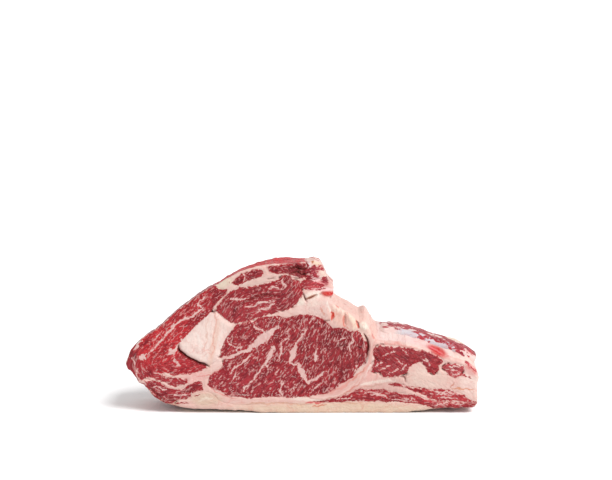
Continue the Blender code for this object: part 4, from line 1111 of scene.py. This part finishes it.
def tissue(name, roughness, coat):
    """Raw tissue: painted lean and fat, with marbling and fibres along the flow, painted shade in the
    clefts and painted glints.
    """
    n = Nodes(name)
    flow_mm = n.attribute("flow", "Vector")
    edge = n.attribute("edge")
    lean_tint = n.attribute("lean", "Vector")
    fat_tint = n.attribute("fat", "Vector")
    cleft_shade = n.attribute("cleft_shade")
    marble = n.attribute("marble")

    bend = n.scaled(n.noise(flow_mm, (0.13, 0.16, 0.13), output="Color"), (3.2, 3.2, 3.2))
    bent = n.add('ShaderNodeVectorMath', operation='ADD')
    n.put(bent.inputs[0], flow_mm)
    n.put(bent.inputs[1], bend)
    bent = bent.outputs[0]

    # Flecks: beads drawn out along the fibres, in two sizes, and a broken net of fine lines
    long_reach = n.beads(bent, 7.5, 2.5, 4.5)
    short_reach = n.beads(bent, 3.2, 1.7, 2.4)
    long_beads = n.ramp(long_reach, 0.29, 0.17)
    short_beads = n.ramp(short_reach, 0.34, 0.18)
    glow = n.math('MAXIMUM', n.ramp(long_reach, 0.62, 0.28, 0.0, 0.75),
                  n.ramp(short_reach, 0.60, 0.30, 0.0, 0.60))
    crowd = n.ramp(n.noise(flow_mm, (0.09, 0.12, 0.09)), 0.36, 0.60)
    net = n.ramp(n.beads(bent, 9.0, 4.4, 8.0, feature='DISTANCE_TO_EDGE'), 0.09, 0.02)
    breaks = n.ramp(n.noise(bent, (0.20, 0.34, 0.20)), 0.50, 0.62)
    veins = n.math('MAXIMUM', n.times(net, breaks), long_beads)
    veins = n.math('MAXIMUM', veins, n.times(short_beads, crowd))
    veins = n.times(veins, marble, clamp=True)

    # Where the lean is: inside its painted edge, which is ragged, and between the flecks
    wander = n.noise(flow_mm, (0.42, 0.80, 0.42), 4.0, 0.66)
    ragged = n.times(n.math('SUBTRACT', wander, 0.5), 4.2)
    border = n.math('ADD', edge, ragged)
    solid = n.ramp(border, -0.35, 0.30)
    share = n.times(solid, n.math('SUBTRACT', 1.0, n.times(veins, 0.58)))

    strands = n.noise(bent, (0.13, 0.85, 0.42), 3.0, 0.62)
    threads = n.noise(flow_mm, (0.35, 2.6, 1.2), 2.0, 0.55)
    clouds = n.noise(flow_mm, (0.075, 0.13, 0.08), 2.0)
    # Lean: dark and bright strands, pale threads, darker clouds and wet glints, which are painted
    # highlights
    painted_glints = n.ramp(n.beads(bent, 2.3, 1.2, 1.5), 0.27, 0.12)
    painted_glints = n.times(painted_glints, n.ramp(clouds, 0.42, 0.60, 0.15, 0.70))
    lean = n.mix(n.ramp(strands, 0.36, 0.64), n.mix(0.70, lean_tint, (0.076, 0.002, 0.005, 1)),
                 n.mix(0.42, lean_tint, (0.50, 0.045, 0.058, 1)))
    lean = n.mix(n.ramp(threads, 0.30, 0.72, 0.0, 0.30), lean, (0.42, 0.10, 0.12, 1))
    lean = n.mix(n.ramp(clouds, 0.40, 0.66, 0.0, 0.60), lean, (0.105, 0.004, 0.009, 1))
    halo = n.times(n.ramp(border, 2.4, 0.3), n.ramp(clouds, 0.40, 0.58, 0.25, 0.75))
    halo = n.math('MAXIMUM', halo, n.times(glow, 0.62))
    lean = n.mix(halo, lean, n.mix(0.5, lean_tint, (0.50, 0.030, 0.040, 1)))
    # Painted highlights: the glints, mixed in as pale pink
    lean = n.mix(painted_glints, lean, (0.64, 0.30, 0.30, 1))
    # Fat: pink and white patches, pale sheets and fine red vessels
    sheets = n.noise(flow_mm, (0.10, 0.75, 0.3), 3.0, 0.6)
    patches = n.noise(flow_mm, (0.16, 0.24, 0.16), 3.0, 0.55)
    vessels = n.ramp(n.beads(bent, 7.0, 5.2, 6.0, feature='DISTANCE_TO_EDGE'), 0.07, 0.01)
    stretches = n.ramp(n.noise(flow_mm, (0.13, 0.17, 0.13)), 0.48, 0.62, 0.0, 0.4)
    fat = fat_tint
    for amount, strength, shade in (
            (n.ramp(n.noise(flow_mm, (0.12, 0.30, 0.12), 4.0, 0.6), 0.46, 0.74, 0.0, 0.42),
             0.6, (0.52, 0.20, 0.18, 1)),
            (n.ramp(sheets, 0.50, 0.70, 0.0, 0.22), 1.0, (0.62, 0.52, 0.47, 1)),
            (n.ramp(patches, 0.50, 0.68, 0.0, 0.35), 0.5, (0.62, 0.34, 0.29, 1)),
            (n.ramp(patches, 0.48, 0.32, 0.0, 0.35), 0.5, (0.70, 0.60, 0.52, 1)),
            (n.times(vessels, stretches), 0.7, (0.56, 0.13, 0.10, 1))):
        fat = n.mix(amount, fat, n.mix(strength, fat_tint, shade))
    colour = n.mix(share, fat, lean)
    # Painted shade along the clefts, in two steps
    colour = n.mix(n.ramp(cleft_shade, 0.0, 0.6, 0.0, 0.65), colour, (0.26, 0.035, 0.028, 1))
    colour = n.mix(n.ramp(cleft_shade, 0.25, 1.0, 0.0, 0.9), colour, (0.060, 0.003, 0.005, 1))

    # Relief: the lean's strands, and the lumps of the fat, which stands a little higher
    cords = n.times(n.math('ADD', strands, n.times(threads, 0.5)), share)
    lumps = n.noise(flow_mm, (0.25, 0.45, 0.25), 5.0, 0.68)
    height = n.math('ADD', cords, n.times(n.math('SUBTRACT', 1.0, share), n.math('ADD', lumps, 0.25)))
    bump = n.add('ShaderNodeBump', {"Strength": 0.9, "Distance": 0.0012, "Height": height})
    rough = n.math('ADD', n.times(n.noise(flow_mm, (0.4, 0.6, 0.4), 2.0), 0.30), roughness - 0.15)
    return n.surface({
        "Base Color": colour, "Roughness": rough, "Normal": bump, "Specular IOR Level": 0.12,
        "Coat Weight": coat, "Coat Roughness": 0.16})


def floor_finish():
    n = Nodes("pale_floor")
    clouds = n.noise(n.add('ShaderNodeTexCoord').outputs["Object"], (1, 1, 1))
    colour = n.mix(n.ramp(clouds, 0.3, 0.7), (0.94, 0.94, 0.945, 1), (0.96, 0.96, 0.96, 1))
    return n.surface({"Base Color": colour, "Roughness": 0.8, "Specular IOR Level": 0.1})


VIEW_WIDTH = 0.5265              # width of the view at the front cut face, metres
LENS = 120.0
SENSOR = 36.0
AIM = (0.0032, -0.025, 0.1545)
KEY_DIRECTION = (-0.47, 0.40, -0.79)
KEY_SOFTNESS = 30.0              # degrees
KEY_STRENGTH = 2.9
SKY_STRENGTH = 0.70
FLOOR_HALF = 12.0                # metres from the middle of the floor to its sides


def camera():
    data = bpy.data.cameras.new("camera")
    data.lens = LENS
    data.sensor_width = SENSOR
    data.clip_end = 20.0
    item = place("camera", data)
    distance = VIEW_WIDTH * LENS / SENSOR
    item.location = (AIM[0], AIM[1] - distance * math.cos(VIEW_TILT),
                     AIM[2] + distance * math.sin(VIEW_TILT))
    item.rotation_euler = (math.radians(90) - VIEW_TILT, 0, 0)
    bpy.context.scene.camera = item


def studio():
    world = bpy.data.worlds.new("pale_world")
    world.use_nodes = True
    sky = world.node_tree.nodes["Background"].inputs
    sky["Color"].default_value = (1, 1, 1, 1)
    sky["Strength"].default_value = SKY_STRENGTH
    bpy.context.scene.world = world
    key = bpy.data.lights.new("key", 'SUN')
    key.angle = math.radians(KEY_SOFTNESS)
    key.energy = KEY_STRENGTH
    turn = Vector(KEY_DIRECTION).to_track_quat('-Z', 'Y').to_euler()
    place("key", key).rotation_euler = turn
    bpy.context.scene.view_settings.view_transform = 'Standard'
    floor_mesh = bpy.data.meshes.new("floor")
    corners = [(FLOOR_HALF * a, FLOOR_HALF * b, 0) for a, b in ((-1, -1), (1, -1), (1, 1), (-1, 1))]
    floor_mesh.from_pydata(corners, [], [(0, 1, 2, 3)])
    floor_mesh.materials.append(floor_finish())
    floor = place("floor", floor_mesh)


camera()
outlines = {node: [rounded(loop) for loop in section_loops(node)] for node in FACE_NODES}
pieces = make_pieces(outlines)
pieces["rib_bone"] = rib_piece()
finishes = {
    "lean": tissue("lean_meat", 0.36, 0.07),
    "bright_lean": tissue("bright_meat", 0.34, 0.07),
    "pale_fat": tissue("pale_fat", 0.40, 0.09),
    "cream_fat": tissue("cream_fat", 0.46, 0.05),
    "bone": tissue("bone_membrane", 0.38, 0.08),
}
for node, piece in pieces.items():
    piece.data.materials.append(finishes[SLOTS[node]])
    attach(piece, "root")
    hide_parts(node)
studio()
